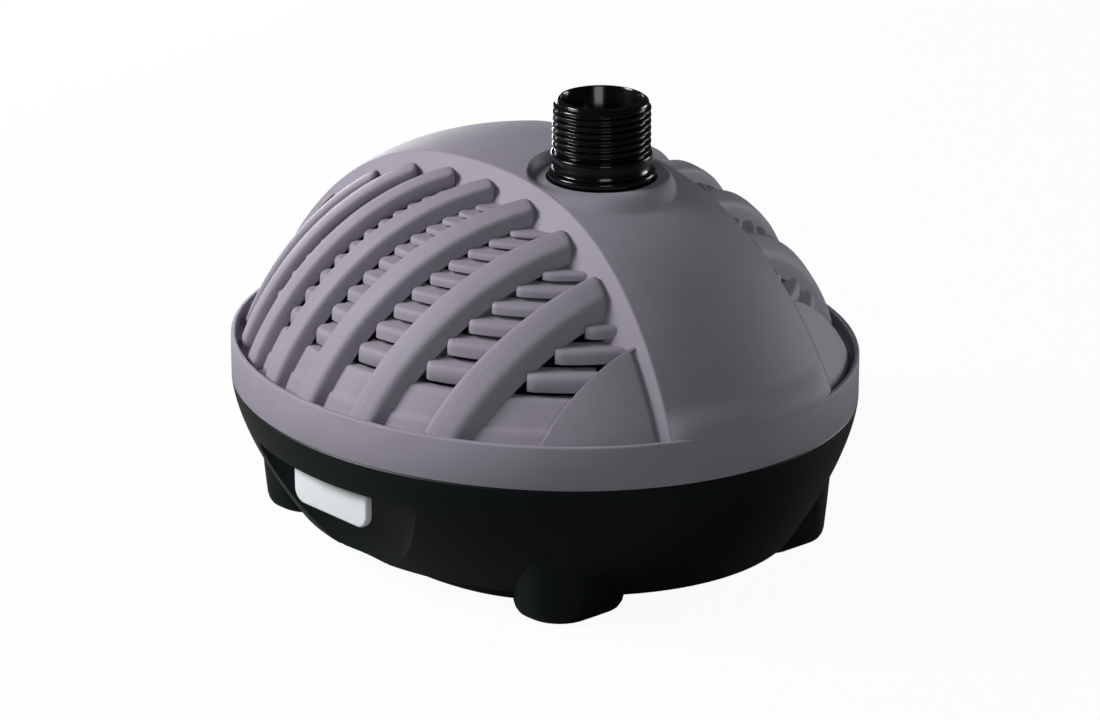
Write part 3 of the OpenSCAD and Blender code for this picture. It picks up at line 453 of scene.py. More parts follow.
def ring_crossing(a, b, line):
    """Angle at which a line in plan, carried on past both its ends, crosses an oval ring."""
    run = line[-1] - line[0]
    line = np.concatenate([[line[0] - run * CARRY_FOOT_SHARE], line, [line[-1] + run * CARRY_HEAD_SHARE]])
    s = np.linspace(0, len(line) - 1, CROSSING_STEPS)
    points = np.stack([np.interp(s, range(len(line)), line[:, i]) for i in (0, 1)], -1)
    level = np.hypot(points[:, 0] / a, points[:, 1] / b) - 1
    turns = np.where(np.sign(level[:-1]) != np.sign(level[1:]))[0]
    if not len(turns):
        return None
    point = points[turns[0]]
    return math.atan2(point[1] / b, point[0] / a)


def plank_section(k):
    """One plank's section: [share of the way to the next plank, inset, height], its face first."""
    z, rise = louvre_z(k), louvre_z(k + 1) - louvre_z(k)
    high = z + rise * (1 - SLOT_SHARE)
    section = [(0, inset, z + rise * share) for inset, share in PLANK_FACE]
    section += [(1, inset, high + drop) for inset, drop in TREAD_EDGE]
    section += [(1, TREAD_BACK, high), (1, TREAD_BACK, high - PLANK_T)]
    return section + [(0, HEEL_INSET, z + rise * HEEL_SHARE)]


def room_beside(points, line):
    """Distance of points in plan from a line, counted towards the band's front end."""
    along = unit_steps(line)
    nearest = np.linalg.norm(points[:, None] - line, axis=2).argmin(1)
    square = np.stack([-along[nearest, 1], along[nearest, 0]], -1)
    return ((points - line[nearest]) * square).sum(1)


def make_plank(pieces, k, start, stop, line):
    """One plank between two boundaries; its rear end is rounded and stands clear of the rib."""
    u, following = louvre_u(k), louvre_u(k + 1)
    share = np.concatenate([np.linspace(0, PLANK_END_SHARE, PLANK_END_STEPS)[:-1],
                            np.linspace(PLANK_END_SHARE, 1, PLANK_STEPS)])
    angles = start + (stop - start) * share
    on_ring = np.stack([DEEP_L * u * np.cos(angles), DEEP_W * u * np.sin(angles)], -1)
    clear = room_beside(on_ring, line) - RIB_W / 2 - END_GAP
    bend = np.clip(END_R - clear, 0, END_R)
    draw = END_R - np.sqrt(np.clip(END_R**2 - bend**2, 0, None))
    kept = clear > 0
    angles, draw = angles[kept], draw[kept]
    if len(angles) < 3:
        return
    rows = []
    for part, inset, z in plank_section(k):
        size = u + (following - u) * part
        held = inset + (draw if part == 0 else draw * END_DRAW_SHARE)
        x, y = (DEEP_L * size - held) * np.cos(angles), (DEEP_W * size - held) * np.sin(angles)
        rows.append(np.stack([x, y, np.full_like(angles, z)], -1))
    rear_end = np.array([row[0] for row in rows])
    pieces.mirrored(np.array(rows + rows[:1]), flip=True)
    pieces.cap(rear_end, flip=True)
    pieces.cap(rear_end * np.array([1, -1, 1]), flip=False)


def make_planks(pieces):
    """Rings of planks, parted by the ribs and the blank fields."""
    lines = rib_boundaries()
    for k in range(LOUVRE_COUNT):
        a, b = DEEP_L * louvre_u(k), DEEP_W * louvre_u(k)
        edge = math.asin(min(1, (BAND_HALF_CROWN + BAND_LAP) / b))
        marks = [(math.pi - edge, lines[0])]
        for line in lines:
            angle = ring_crossing(a, b, line)
            head_inside = np.hypot(line[-1][0] / a, line[-1][1] / b) < 1
            if angle is not None and edge < angle < math.pi - edge and head_inside:
                marks.append((angle, line))
        marks.append((edge, lines[-1]))
        for (start, line), (stop, _) in zip(marks, marks[1:]):
            make_plank(pieces, k, start, stop, line)


def make_foot_plate(pieces):
    """Smooth plate between the rim and the first planks."""
    def at(z, inset):
        u = dome_u(z, LOUVRE_DROP)
        return (DEEP_L * u - inset, DEEP_W * u - inset, z)

    top = louvre_z(0) - (louvre_z(1) - louvre_z(0)) * SLOT_SHARE
    step_z = RIM_Z + STEP_RISE
    plate = [at(z, -STEP) for z in (CHANNEL_Z, RIM_Z, step_z - STEP_BEVEL)] + [at(step_z, -STEP / 2)]
    face = step_z + PLATE_FACE_ENDS[0], top + PLATE_FACE_ENDS[1]
    plate += [at(z, 0) for z in np.linspace(*face, PLATE_ROWS)]
    plate += [at(top + drop, inset) for inset, drop in PLATE_EDGE_SHAPE]
    behind = louvre_u(PLATE_BACK)
    plate += [(DEEP_L * behind, DEEP_W * behind, z) for z in (top, top - PLATE_T)]
    pieces.grid(ring_rows(plate + [at(CHANNEL_Z, PLATE_T)]), closed=True)


# Rim: [inset, height over the seam or under the rim's top]
RIM_FOOT = [(0.45, 0), (0.12, 0.12), (0, 0.45)]
RIM_TOP = [(0, -0.7), (0.15, -0.25), (0.55, 0)]
RIM_LIP = 1.7
LIP_BEVEL = 0.3
CHANNEL_INSET = 7.6
CHANNEL_T = 2.0
CHANNEL_SHAPE = [(CHANNEL_INSET, 0), (CHANNEL_INSET, CHANNEL_T), (WALL, CHANNEL_T)]


def make_rim(pieces):
    """Plain rim at the foot of the dome, with the channel behind it."""
    section = [(WALL, SEAM_Z)] + [(inset, SEAM_Z + up) for inset, up in RIM_FOOT]
    section += [(inset, RIM_Z + down) for inset, down in RIM_TOP]
    section += [(RIM_LIP - LIP_BEVEL, RIM_Z), (RIM_LIP, RIM_Z - LIP_BEVEL), (RIM_LIP, CHANNEL_Z)]
    section += [(inset, CHANNEL_Z - down) for inset, down in CHANNEL_SHAPE] + [(WALL, SEAM_Z)]
    pieces.grid(ring_rows([(HALF_L - inset, HALF_W - inset, z) for inset, z in section]), closed=True)


def make_upper_shell():
    """The upper shell as one piece."""
    pieces = Pieces()
    make_rim(pieces)
    make_planks(pieces)
    make_foot_plate(pieces)
    for end in (-1, 1):
        make_blank(pieces, end)
    make_ribs(pieces)
    make_band_edges(pieces)
    make_band(pieces)
    make_apron(pieces)
    shell = pieces.finish("upper_shell_skin")
    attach(shell, "shell")
    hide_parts("upper_shell")
    return shell


# Bowl: drawn in towards its lower edge along a curve
BASE_Z = 7.5
BASE_INSET_X = 18.5
BASE_INSET_Y = 22.2
BOWL_POWER = 1.5
ROW_POWER = 1.2
BOWL_ROWS = 26
BASE_FILLET = [(1.2, 0), (0.5, 0.12), (0.1, 0.45)]
SEAM_BEVEL = 0.4
SEAM_BEVEL_H = 0.5
SEAM_ROOM = 0.02
FIRST_ROW_SHARE = 0.02
INNER_ROWS = 30
BOUNDS_ROWS = 20
BOWL_SMOOTH_ANGLE = 32
HOLLOW_CORNER = 0.8
HOLLOW_RISE = 5.0
LIP_H = 3.4
LIP_INSETS = (2.4, 3.3, 6.0)
LIP_ROOT = 6.0

# Pan under the bowl: [inset, height over the pan's foot]
PAN_Z = 3.0
PAN_HALF_L = 77.0
PAN_HALF_W = 72.0
PAN_POWER = 3.0
PAN_FILLET = [(2.6, 0), (0.8, 0.5), (0, 1.6)]
PAN_HOLLOW_TOP = 6.0
FLOOR_Z = 6.0

# Recesses: an upright cylinder beside the bowl, its ceiling rounded: [height under the top, draw]
RECESS_R = 75.0
RECESS_BACK_Y = 79.4
RECESS_TOP_Z = 40.0
RECESS_LOW_Z = -5.0
RECESS_CEILING = [(-3, 0), (-1.7, 0.3), (-0.7, 1.0), (-0.2, 1.9), (0, 3.0)]
RECESS_TURNS = 256

# Feet: [height, growth] from the ground up, then a rounded top
FEET_SPAN_L = 162.4
FEET_SPAN_W = 131.0
FOOT_L = 30.0
FOOT_W = 38.0
FOOT_R = 14.1
FOOT_TURNS = 64
FOOT_SHAPE = [(0, -3.6), (0.3, -2.4), (1.0, -1.2), (2.2, -0.4), (4, 0.1), (12, 0.9), (20, 1.6), (24, 2.0)]
FOOT_TOP_R = 9.0
FOOT_TOP_ANGLES = (20, 40, 55, 70, 82)
CUT = 1.0


def bowl_section(inset, low_share, count):
    """Rings up the bowl's side, set in by some depth."""
    rows = []
    for t in np.linspace(low_share, 1, count) ** ROW_POWER:
        draw = (1 - t) ** BOWL_POWER
        rows.append((HALF_L - BASE_INSET_X * draw - inset, HALF_W - BASE_INSET_Y * draw - inset,
                     BASE_Z + (SEAM_Z - BASE_Z) * t))
    return rows


def closed_tube(name, rings):
    """A closed solid through rings of points, with a lid at both ends."""
    rows, columns = rings.shape[:2]
    faces = grid_faces(rows, columns, True)
    faces.append(list(range(columns))[::-1])
    faces.append([(rows - 1) * columns + i for i in range(columns)])
    return add_mesh(name, rings, faces)


def lathe_solid(name, sections, power=2.0):
    """A closed solid through oval rings."""
    return closed_tube(name, ring_rows(sections, power))


def combine(obj, tool, operation):
    """Joins, cuts or intersects a solid with another, which is used up."""
    step = obj.modifiers.new(operation.lower(), "BOOLEAN")
    step.operation, step.object, step.solver = operation, tool, "EXACT"
    bpy.context.view_layer.objects.active = obj
    bpy.ops.object.modifier_apply(modifier=step.name)
    bpy.data.objects.remove(tool, do_unlink=True)


def make_foot(sx, sy):
    """One foot, its outline growing a little upwards."""
    rows = list(FOOT_SHAPE)
    high, widest = rows[-1]
    rows += [(high + FOOT_TOP_R * math.sin(a), widest - FOOT_TOP_R * (1 - math.cos(a)))
             for a in np.radians(FOOT_TOP_ANGLES)]
    angles = full_turn(FOOT_TURNS)
    cx = sx * (FEET_SPAN_L - FOOT_L) / 2 + np.sign(np.cos(angles)) * (FOOT_L / 2 - FOOT_R)
    cy = sy * (FEET_SPAN_W - FOOT_W) / 2 + np.sign(np.sin(angles)) * (FOOT_W / 2 - FOOT_R)
    rings = [np.stack([cx + (FOOT_R + grow) * np.cos(angles), cy + (FOOT_R + grow) * np.sin(angles),
                       np.full_like(angles, z)], -1) for z, grow in rows]
    return closed_tube("foot", np.array(rings))


def recess_cutter(side):
    """Upright cylinder beside the bowl; its ceiling is rounded into the side."""
    angles = full_turn(RECESS_TURNS)
    rows = [(RECESS_LOW_Z, 0)] + [(RECESS_TOP_Z + up, draw) for up, draw in RECESS_CEILING]
    middle = side * (RECESS_BACK_Y + RECESS_R)
    rings = [np.stack([(RECESS_R - draw) * np.cos(angles), middle + (RECESS_R - draw) * np.sin(angles),
                       np.full_like(angles, z)], -1) for z, draw in rows]
    return closed_tube("recess", np.array(rings))


def prism(name, outline, low, high, axis):
    """A closed prism over an outline in the two other directions."""
    outline = np.array(outline, float)
    n = len(outline)
    points = np.zeros((2 * n, 3))
    others = [i for i in range(3) if i != axis]
    for k, level in enumerate((low, high)):
        points[k * n:(k + 1) * n, axis] = level
        points[k * n:(k + 1) * n, others[0]] = outline[:, 0]
        points[k * n:(k + 1) * n, others[1]] = outline[:, 1]
    faces = [list(range(n))[::-1], [n + i for i in range(n)]] + grid_faces(2, n, True)
    turn = np.roll(outline, -1, 0)
    area = np.sum(outline[:, 0] * turn[:, 1] - turn[:, 0] * outline[:, 1])
    if (area > 0) == (axis == 1):
        faces = [f[::-1] for f in faces]
    return add_mesh(name, points, faces, False)


def block(name, low, high):
    """A box between two corners."""
    outline = [(low[0], low[1]), (high[0], low[1]), (high[0], high[1]), (low[0], high[1])]
    return prism(name, outline, low[2], high[2], 2)


def round_outline(middle, r, n=64, start=0, end=360):
    """Points on an arc; a full circle unless its ends are named."""
    full = end - start == 360
    angles = np.radians(np.linspace(start, end, n + 1 if full else n))
    if full:
        angles = angles[:-1]
    return [(middle[0] + r * math.cos(a), middle[1] + r * math.sin(a)) for a in angles]


# Room round pins and screws, room round the motor, and the seats' depth in the floor
FIT = 0.05
SEAT = 0.1
SINK = 0.1

# What the bowl carries inside: motor bed, clamp posts, latch lugs and the gland's boss
PUMP_Y = 15.0
PUMP_Z = 54.0
MOTOR_X = -70.0
MOTOR_L = 86.0
MOTOR_R = 33.0
SADDLE_SHARES = (0.12, 0.82)
SADDLE_T = 6.0
SADDLE_W_SHARE = 0.8
CLAMP_X = -29.6
CLAMP_W = 12.0
CLAMP_T = 3.0
CLAMP_SCREW_R = 2.0
CLAMP_SCREW_L = 16.0
POST_Y = 45.0
POST_W = 12.0
LATCH_AXIS_Y = 93.5
LATCH_AXIS_Z = 45.5
LATCH_FACE_Y = 95.0
LATCH_PIN_R = 1.5
PIN_BORE_HALF = 25.0
LUG_X = 21.2
LUG_T = 3.0
LUG_R = 3.0
LUG_ROOT = 0.5
PLATE_TOP_Z = 43.0
POCKET_ROOM = 1.9
POCKET_H = 9.0
WINDOW_HALF = 20.9
WINDOW_Y = (90.0, 97.0)
GLAND_Z = 38.0
GLAND_BOSS_R = 11.5
GLAND_BORE_R = 7.1
GLAND_SEAT_X = -109.6
GLAND_BOSS_L = 8.0
GLAND_BORE_END_X = -80.0


def oval(inset, z):
    """A ring parallel to the housing's outline."""
    return (HALF_L - inset, HALF_W - inset, z)


def make_bowl_wall():
    """The bowl's thin wall with its pan, feet and the lip that centres the upper shell."""
    low_l, low_w = HALF_L - BASE_INSET_X, HALF_W - BASE_INSET_Y
    outer = [(low_l - inset, low_w - inset, BASE_Z + up) for inset, up in BASE_FILLET]
    outer += bowl_section(0, FIRST_ROW_SHARE, BOWL_ROWS)[:-1]
    outer += [oval(SEAM_ROOM, SEAM_Z - SEAM_BEVEL_H), oval(SEAM_BEVEL, SEAM_Z)]
    bowl = lathe_solid("lower_shell_skin", outer)
    pan = [(PAN_HALF_L - inset, PAN_HALF_W - inset, PAN_Z + up) for inset, up in PAN_FILLET]
    combine(bowl, lathe_solid("pan", pan + [(PAN_HALF_L, PAN_HALF_W, BASE_Z + WALL)], PAN_POWER), "UNION")
    for sx in (-1, 1):
        for sy in (-1, 1):
            combine(bowl, make_foot(sx, sy), "UNION")
    inner = [row for row in bowl_section(WALL, 0, INNER_ROWS) if row[2] > BASE_Z + WALL + CUT]
    corner = (inner[0][0] - HOLLOW_CORNER, inner[0][1] - HOLLOW_CORNER, BASE_Z + WALL)
    inner = [corner] + inner[:-1] + [oval(WALL, SEAM_Z - WALL), oval(WALL, SEAM_Z + HOLLOW_RISE)]
    combine(bowl, lathe_solid("hollow", inner), "DIFFERENCE")
    pan_l, pan_w = PAN_HALF_L - WALL, PAN_HALF_W - WALL
    pan_hollow = [(pan_l, pan_w, FLOOR_Z), (pan_l, pan_w, BASE_Z + PAN_HOLLOW_TOP)]
    combine(bowl, lathe_solid("pan_hollow", pan_hollow, PAN_POWER), "DIFFERENCE")
    root, rim, inside = LIP_INSETS
    lip = [oval(root, SEAM_Z - LIP_ROOT), oval(root, SEAM_Z), oval(rim, SEAM_Z), oval(rim, SEAM_Z + LIP_H)]
    ring = lathe_solid("lip", lip)
    lip_hollow = [oval(inside, SEAM_Z - LIP_ROOT - CUT), oval(inside, SEAM_Z + HOLLOW_RISE)]
    combine(ring, lathe_solid("lip_hollow", lip_hollow), "DIFFERENCE")
    combine(bowl, ring, "UNION")
    return bowl


def add_latch_seats(bowl, side):
    """Walls behind one finger recess, and the pocket and lugs that carry its latch."""
    y = sorted((0, side * (LATCH_FACE_Y + POCKET_ROOM)))
    pocket = block("pocket", (-LUG_X - LUG_T, y[0], PLATE_TOP_Z), (LUG_X + LUG_T, y[1], SEAM_Z + POCKET_H))
    combine(bowl, pocket, "DIFFERENCE")
    outline = round_outline((0, side * (RECESS_BACK_Y + RECESS_R)), RECESS_R + WALL, RECESS_TURNS)
    walls = prism("recess_walls", outline, BASE_Z, PLATE_TOP_Z, 2)
    combine(walls, lathe_solid("bounds", bowl_section(WALL / 2, 0, BOUNDS_ROWS)), "INTERSECT")
    combine(bowl, walls, "UNION")
    axis_y, root_z = side * LATCH_AXIS_Y, PLATE_TOP_Z - LUG_ROOT
    for end in (-1, 1):
        arch = round_outline((axis_y, LATCH_AXIS_Z), LUG_R, 24, 0, 180)
        arch += [(axis_y - LUG_R, root_z), (axis_y + LUG_R, root_z)]
        x = sorted((end * LUG_X, end * (LUG_X + LUG_T)))
        combine(bowl, prism("lug", arch, x[0], x[1], 0), "UNION")


def add_motor_seats(bowl):
    """Saddles under the motor, and the posts of its clamp."""
    low, half = FLOOR_Z - SINK, MOTOR_R * SADDLE_W_SHARE
    for share in SADDLE_SHARES:
        x = MOTOR_X + MOTOR_L * share
        corner = (x + SADDLE_T / 2, PUMP_Y + half, PUMP_Z - MOTOR_R / 2)
        combine(bowl, block("saddle", (x - SADDLE_T / 2, PUMP_Y - half, low), corner), "UNION")
    for side in (-1, 1):
        y = PUMP_Y + side * POST_Y
        corner = (CLAMP_X + CLAMP_W / 2, y + POST_W / 2, PUMP_Z - CLAMP_T)
        combine(bowl, block("post", (CLAMP_X - CLAMP_W / 2, y - POST_W / 2, low), corner), "UNION")


def cut_recess(bowl, side):
    """One finger recess with the latch's window, pin hole and the screw hole of the clamp's post."""
    combine(bowl, recess_cutter(side), "DIFFERENCE")
    y = sorted(side * edge for edge in WINDOW_Y)
    corner = (WINDOW_HALF, y[1], PLATE_TOP_Z + LUG_ROOT)
    combine(bowl, block("window", (-WINDOW_HALF, y[0], RECESS_TOP_Z - CUT), corner), "DIFFERENCE")
    pin = round_outline((side * LATCH_AXIS_Y, LATCH_AXIS_Z), LATCH_PIN_R + FIT, 32)
    combine(bowl, prism("pin_hole", pin, -PIN_BORE_HALF, PIN_BORE_HALF, 0), "DIFFERENCE")
    screw = round_outline((CLAMP_X, PUMP_Y + side * POST_Y), CLAMP_SCREW_R + FIT, 32)
    combine(bowl, prism("screw_hole", screw, PUMP_Z - CLAMP_T - CLAMP_SCREW_L, PUMP_Z, 2), "DIFFERENCE")


def make_bowl():
    """The lower shell with all that it carries inside."""
    bowl = make_bowl_wall()
    for side in (-1, 1):
        add_latch_seats(bowl, side)
    add_motor_seats(bowl)
    boss = round_outline((0, GLAND_Z), GLAND_BOSS_R)
    combine(bowl, prism("boss", boss, GLAND_SEAT_X, GLAND_SEAT_X + GLAND_BOSS_L, 0), "UNION")
    for side in (-1, 1):
        cut_recess(bowl, side)
    bed = round_outline((PUMP_Y, PUMP_Z), MOTOR_R + SEAT, 128)
    combine(bowl, prism("motor_bed", bed, MOTOR_X - CUT, MOTOR_X + MOTOR_L + CUT, 0), "DIFFERENCE")
    bore = round_outline((0, GLAND_Z), GLAND_BORE_R)
    combine(bowl, prism("gland_hole", bore, -HALF_L - CUT, GLAND_BORE_END_X, 0), "DIFFERENCE")
    combine(bowl, prism("gland_seat", boss, -HALF_L - CUT, GLAND_SEAT_X, 0), "DIFFERENCE")
    sharpen(bowl, BOWL_SMOOTH_ANGLE)
    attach(bowl, "base")
    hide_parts("lower_shell")
    return bowl


# Release latches
LATCH_HALF = 20.5
LATCH_T = 3.0
LATCH_LOW_Z = 25.6
TAB_R = 5.0
TAB_HALF = 19.2
TAB_BEVEL = 0.9
TAB_BEVEL_STEPS = 4
TAB_END_ANGLE = 359.9
LATCH_SMOOTH_ANGLE = 35
BARREL_R = 3.0
ARM_ROOT = 1.5
LATCH_BORE_HALF = 30.0
SLOT_TOP_ROOM = 20.0
ARM_GAP = 4.2
NOSE_Z = 55.4
NOSE_H = 3.0
NOSE_REACH = 1.6
CATCH_X = 13.0
ARM_HALF = 5.0


def make_latch(side, name, body):
    """A latch: tab with softened edges, two arms with noses, and the barrel on the pin."""
    def across(y0, y1):
        return sorted((side * y0, side * y1))

    r, corner_z = TAB_R, LATCH_LOW_Z + TAB_R
    outline = [(TAB_HALF, LATCH_AXIS_Z), (-TAB_HALF, LATCH_AXIS_Z)]
    outline += round_outline((-TAB_HALF + r, corner_z), r, 10, 180, 270)
    outline += round_outline((TAB_HALF - r, corner_z), r, 10, 270, TAB_END_ANGLE)
    y = across(LATCH_FACE_Y - LATCH_T, LATCH_FACE_Y)
    latch = prism(name + "_skin", outline, y[0], y[1], 1)
    soften = latch.modifiers.new("soften", "BEVEL")
    soften.width, soften.segments, soften.limit_method = TAB_BEVEL * MM, TAB_BEVEL_STEPS, "ANGLE"
    bpy.context.view_layer.objects.active = latch
    bpy.ops.object.modifier_apply(modifier=soften.name)
    axis = (side * LATCH_AXIS_Y, LATCH_AXIS_Z)
    for end in (-1, 1):
        x = sorted((end * ARM_GAP, end * LATCH_HALF))
        combine(latch, prism("barrel", round_outline(axis, BARREL_R, 40), x[0], x[1], 0), "UNION")
        left, right = end * CATCH_X - ARM_HALF, end * CATCH_X + ARM_HALF
        top = NOSE_Z + NOSE_H
        combine(latch, block("arm", (left, y[0], LATCH_AXIS_Z - ARM_ROOT), (right, y[1], top)), "UNION")
        nose = across(LATCH_FACE_Y - LATCH_T - NOSE_REACH, LATCH_FACE_Y)
        combine(latch, block("nose", (left, nose[0], NOSE_Z), (right, nose[1], top)), "UNION")
    pin = round_outline(axis, LATCH_PIN_R + FIT, 32)
    combine(latch, prism("pin_hole", pin, -LATCH_BORE_HALF, LATCH_BORE_HALF, 0), "DIFFERENCE")
    cut_y = across(LATCH_FACE_Y - LATCH_T - CUT, LATCH_FACE_Y + CUT)
    slot = block("slot", (-ARM_GAP, cut_y[0], PLATE_TOP_Z - CUT), (ARM_GAP, cut_y[1], SEAM_Z + SLOT_TOP_ROOM))
    combine(latch, slot, "DIFFERENCE")
    sharpen(latch, LATCH_SMOOTH_ANGLE)
    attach(latch, body)
    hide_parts(name)
    dress(latch, LATCH_WHITE)


# Threaded outlet
THREAD_R = 16.625
THREAD_PITCH = 2.309
THREAD_DEPTH = 1.35
THREAD_TURNS = 160
THREAD_ROWS = 170
THREAD_TOP_ROOM = 0.9
THREAD_START = 2.4
START_SHARE = 0.35
RUN_OUT_SHARE = 0.6
CREST_SHARE = 1.25
FLANK_SHARE = 3.2
OUTLET_BORE_R = 13.5
FLANGE_Z = 132.6
NECK_H = 8.5

# Mouth of the outlet: [inset from the thread's root or growth of the bore, height under the top]
MOUTH_OUTSIDE = [(-0.15, -0.5), (-0.6, -0.12), (-1.1, 0)]
MOUTH_INSIDE = [(0.3, 0), (0, -0.4)]

# Collar, neck and flange: [growth over the piece's radius, height over its place]
COLLAR_R = 17.1
COLLAR_CORE_R = 15.2
COLLAR_SHAPE = [(-0.5, 0), (-0.12, -0.15), (0, -0.5), (0, -3.1), (-0.12, -3.45), (-0.5, -3.6)]
NECK_R = 16.2
NECK_ENDS = [(0, 2.9), (0.4, 2.45)]
FLANGE_R = 18.2
FLANGE_SHAPE = [(-0.7, 2.4), (-0.2, 2.2), (0, 1.8), (0, 0.3), (-0.3, 0)]
SPIGOT_R = 16.02
SPIGOT_L = 18.6
SOCKET_R = 14.0
SOCKET_TOP = 4.3
BORE_LOW = 4.0
OUTLET_SMOOTH_ANGLE = 50


def outlet_ring(r, z, angles):
    """One ring of the outlet; its radius may differ along it."""
    r, z, angles = np.broadcast_arrays(r, z, angles)
    return np.stack([OUTLET_X + r * np.cos(angles), r * np.sin(angles), z], -1)


def thread_radius(z, low, high, angles):
    """Radius of the helical thread at a height, run out at both its ends."""
    phase = ((z - low) / THREAD_PITCH - angles / (2 * math.pi)) % 1
    tooth = smooth_step(0, 1, CREST_SHARE - np.abs(phase - 0.5) * FLANK_SHARE)
    run_out = smooth_step(low, low + THREAD_PITCH * RUN_OUT_SHARE, z)
    start = smooth_step(high - THREAD_TOP_ROOM, high - THREAD_START, z)
    height = THREAD_DEPTH * tooth * run_out * (START_SHARE + (1 - START_SHARE) * start)
    return THREAD_R - THREAD_DEPTH + height


def make_outlet():
    """The outlet with a real helical thread on it."""
    angles = full_turn(THREAD_TURNS)
    low, high = FLANGE_Z + NECK_H, OUTLET_TOP
    root = THREAD_R - THREAD_DEPTH
    pieces = Pieces()
    rows = [outlet_ring(thread_radius(z, low, high, angles), z, angles)
            for z in np.linspace(low, high - THREAD_TOP_ROOM, THREAD_ROWS)]
    mouth = [(root + out, high + up) for out, up in MOUTH_OUTSIDE]
    mouth += [(OUTLET_BORE_R + out, high + up) for out, up in MOUTH_INSIDE]
    mouth += [(OUTLET_BORE_R, FLANGE_Z - BORE_LOW)]
    pieces.grid(np.array(rows + [outlet_ring(r, z, angles) for r, z in mouth]), closed=True)
    body = [(COLLAR_CORE_R, low)] + [(COLLAR_R + out, low + up) for out, up in COLLAR_SHAPE]
    body += [(NECK_R, low + COLLAR_SHAPE[-1][1])] + [(NECK_R + out, FLANGE_Z + up) for out, up in NECK_ENDS]
    body += [(FLANGE_R + out, FLANGE_Z + up) for out, up in FLANGE_SHAPE]
    body += [(SPIGOT_R, FLANGE_Z), (SPIGOT_R, FLANGE_Z - SPIGOT_L), (SOCKET_R, FLANGE_Z - SPIGOT_L),
             (SOCKET_R, FLANGE_Z - SOCKET_TOP), (OUTLET_BORE_R, FLANGE_Z - BORE_LOW)]
    pieces.grid(np.array([outlet_ring(r, z, angles) for r, z in body]), closed=True)
    outlet = pieces.finish("outlet_skin", OUTLET_SMOOTH_ANGLE)
    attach(outlet, "base")
    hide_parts("outlet_fitting")
    return outlet


# Materials
class Value:
    """A shader socket that can be worked with as a number."""

    def __init__(self, nodes, socket):
        self.nodes, self.socket = nodes, socket

    def math(self, operation, other, swapped=False):
        """A maths node with this socket and another value."""
        a, b = (other, self) if swapped else (self, other)
        return self.nodes.node("Math", {"operation": operation}, {0: a, 1: b})[0]

    def __add__(self, other):
        return self.math("ADD", other)

    __radd__ = __add__

    def __sub__(self, other):
        return self.math("SUBTRACT", other)

    def __rsub__(self, other):
        return self.math("SUBTRACT", other, True)

    def __mul__(self, other):
        return self.math("MULTIPLY", other)

    __rmul__ = __mul__


class Nodes:
    """Makes and links the nodes of one node tree."""

    def __init__(self, tree):
        self.tree = tree

    def node(self, kind, settings=None, sockets=None):
        """Adds a node: its settings first, then its sockets' values or links. Returns its outputs."""
        made = self.tree.nodes.new("ShaderNode" + kind)
        for key, value in (settings or {}).items():
            setattr(made, key, value)
        for key, value in (sockets or {}).items():
            self.plug(made.inputs[key], value)
        return [Value(self, s) for s in made.outputs]

    def plug(self, socket, value):
        """Links a Value to a socket, or sets the socket to a constant."""
        if isinstance(value, Value):
            self.tree.links.new(value.socket, socket)
        else:
            socket.default_value = value


class Material(Nodes):
    """A node material with a Principled shader."""

    def __init__(self, name, **constants):
        self.material = bpy.data.materials.new(name)
        self.material.use_nodes = True
        super().__init__(self.material.node_tree)
        self.shader = self.tree.nodes["Principled BSDF"]
        self.set(**constants)

    def set(self, **values):
        """Sets the shader's sockets, whose names are written with low lines."""
        for key, value in values.items():
            self.plug(self.shader.inputs[key.replace("_", " ")], value)

    def noise(self, scale, detail):
        """Noise over the object's own coordinates."""
        sockets = {"Vector": self.node("TexCoord")[3], "Scale": scale, "Detail": detail, "Roughness": 0.5}
        return self.node("TexNoise", {}, sockets)[0]

    def bump(self, height, strength, distance):
        """Relief of the surface from a height."""
        sockets = {"Height": height, "Strength": strength, "Distance": distance}
        self.set(Normal=self.node("Bump", {}, sockets)[0])

    def tint(self, mask, low, high):
        """Base colour between two colours by a mask."""
        mixed = self.node("Mix", {"data_type": "RGBA"}, {0: mask, 6: (*low, 1), 7: (*high, 1)})
        self.set(Base_Color=mixed[2])


# Noise scales count waves per metre
CLOUD_SCALE = 60
GRAIN_SCALE = 2600
GRAIN_DEPTH = 0.0001
METAL_CLOUD_SCALE = 400
METAL_SCUFF_SCALE = 900
METAL_SCUFF = 0.12


def moulded(name, low, high, roughness, grain, specular=0.5):
    """Moulded plastic or rubber with faint clouds and a fine grain."""
    made = Material(name, Roughness=roughness, Specular_IOR_Level=specular)
    made.tint(made.noise(CLOUD_SCALE, 3), low, high)
    made.bump(made.noise(GRAIN_SCALE, 2), grain, GRAIN_DEPTH)
    return made.material


def metal(name, low, high, roughness):
    """Bare metal, scuffed a little."""
    made = Material(name, Metallic=1.0)
    made.tint(made.noise(METAL_CLOUD_SCALE, 3), low, high)
    made.set(Roughness=made.noise(METAL_SCUFF_SCALE, 2) * METAL_SCUFF + (roughness - METAL_SCUFF / 2))
    return made.material


SHELL_GREY = moulded("shell grey", (0.285, 0.262, 0.318), (0.335, 0.312, 0.368), 0.6, 0.8, 0.3)
BOWL_DARK = moulded("bowl dark green", (0.001, 0.004, 0.004), (0.0015, 0.0055, 0.005), 0.42, 0.12, 0.25)
LATCH_WHITE = moulded("latch white", (0.82, 0.85, 0.87), (0.86, 0.89, 0.91), 0.5, 0.08, 0.3)
GLOSS_BLACK = moulded("gloss black", (0.002, 0.002, 0.0025), (0.003, 0.003, 0.0035), 0.16, 0.0, 0.4)
PUMP_BLACK = moulded("pump black", (0.018, 0.018, 0.02), (0.026, 0.026, 0.028), 0.5, 0.2)
CAN_GREY = moulded("can grey", (0.06, 0.06, 0.07), (0.08, 0.08, 0.09), 0.45, 0.1)
SEAL_RUBBER = moulded("seal rubber", (0.012, 0.012, 0.012), (0.02, 0.02, 0.02), 0.75, 0.3)
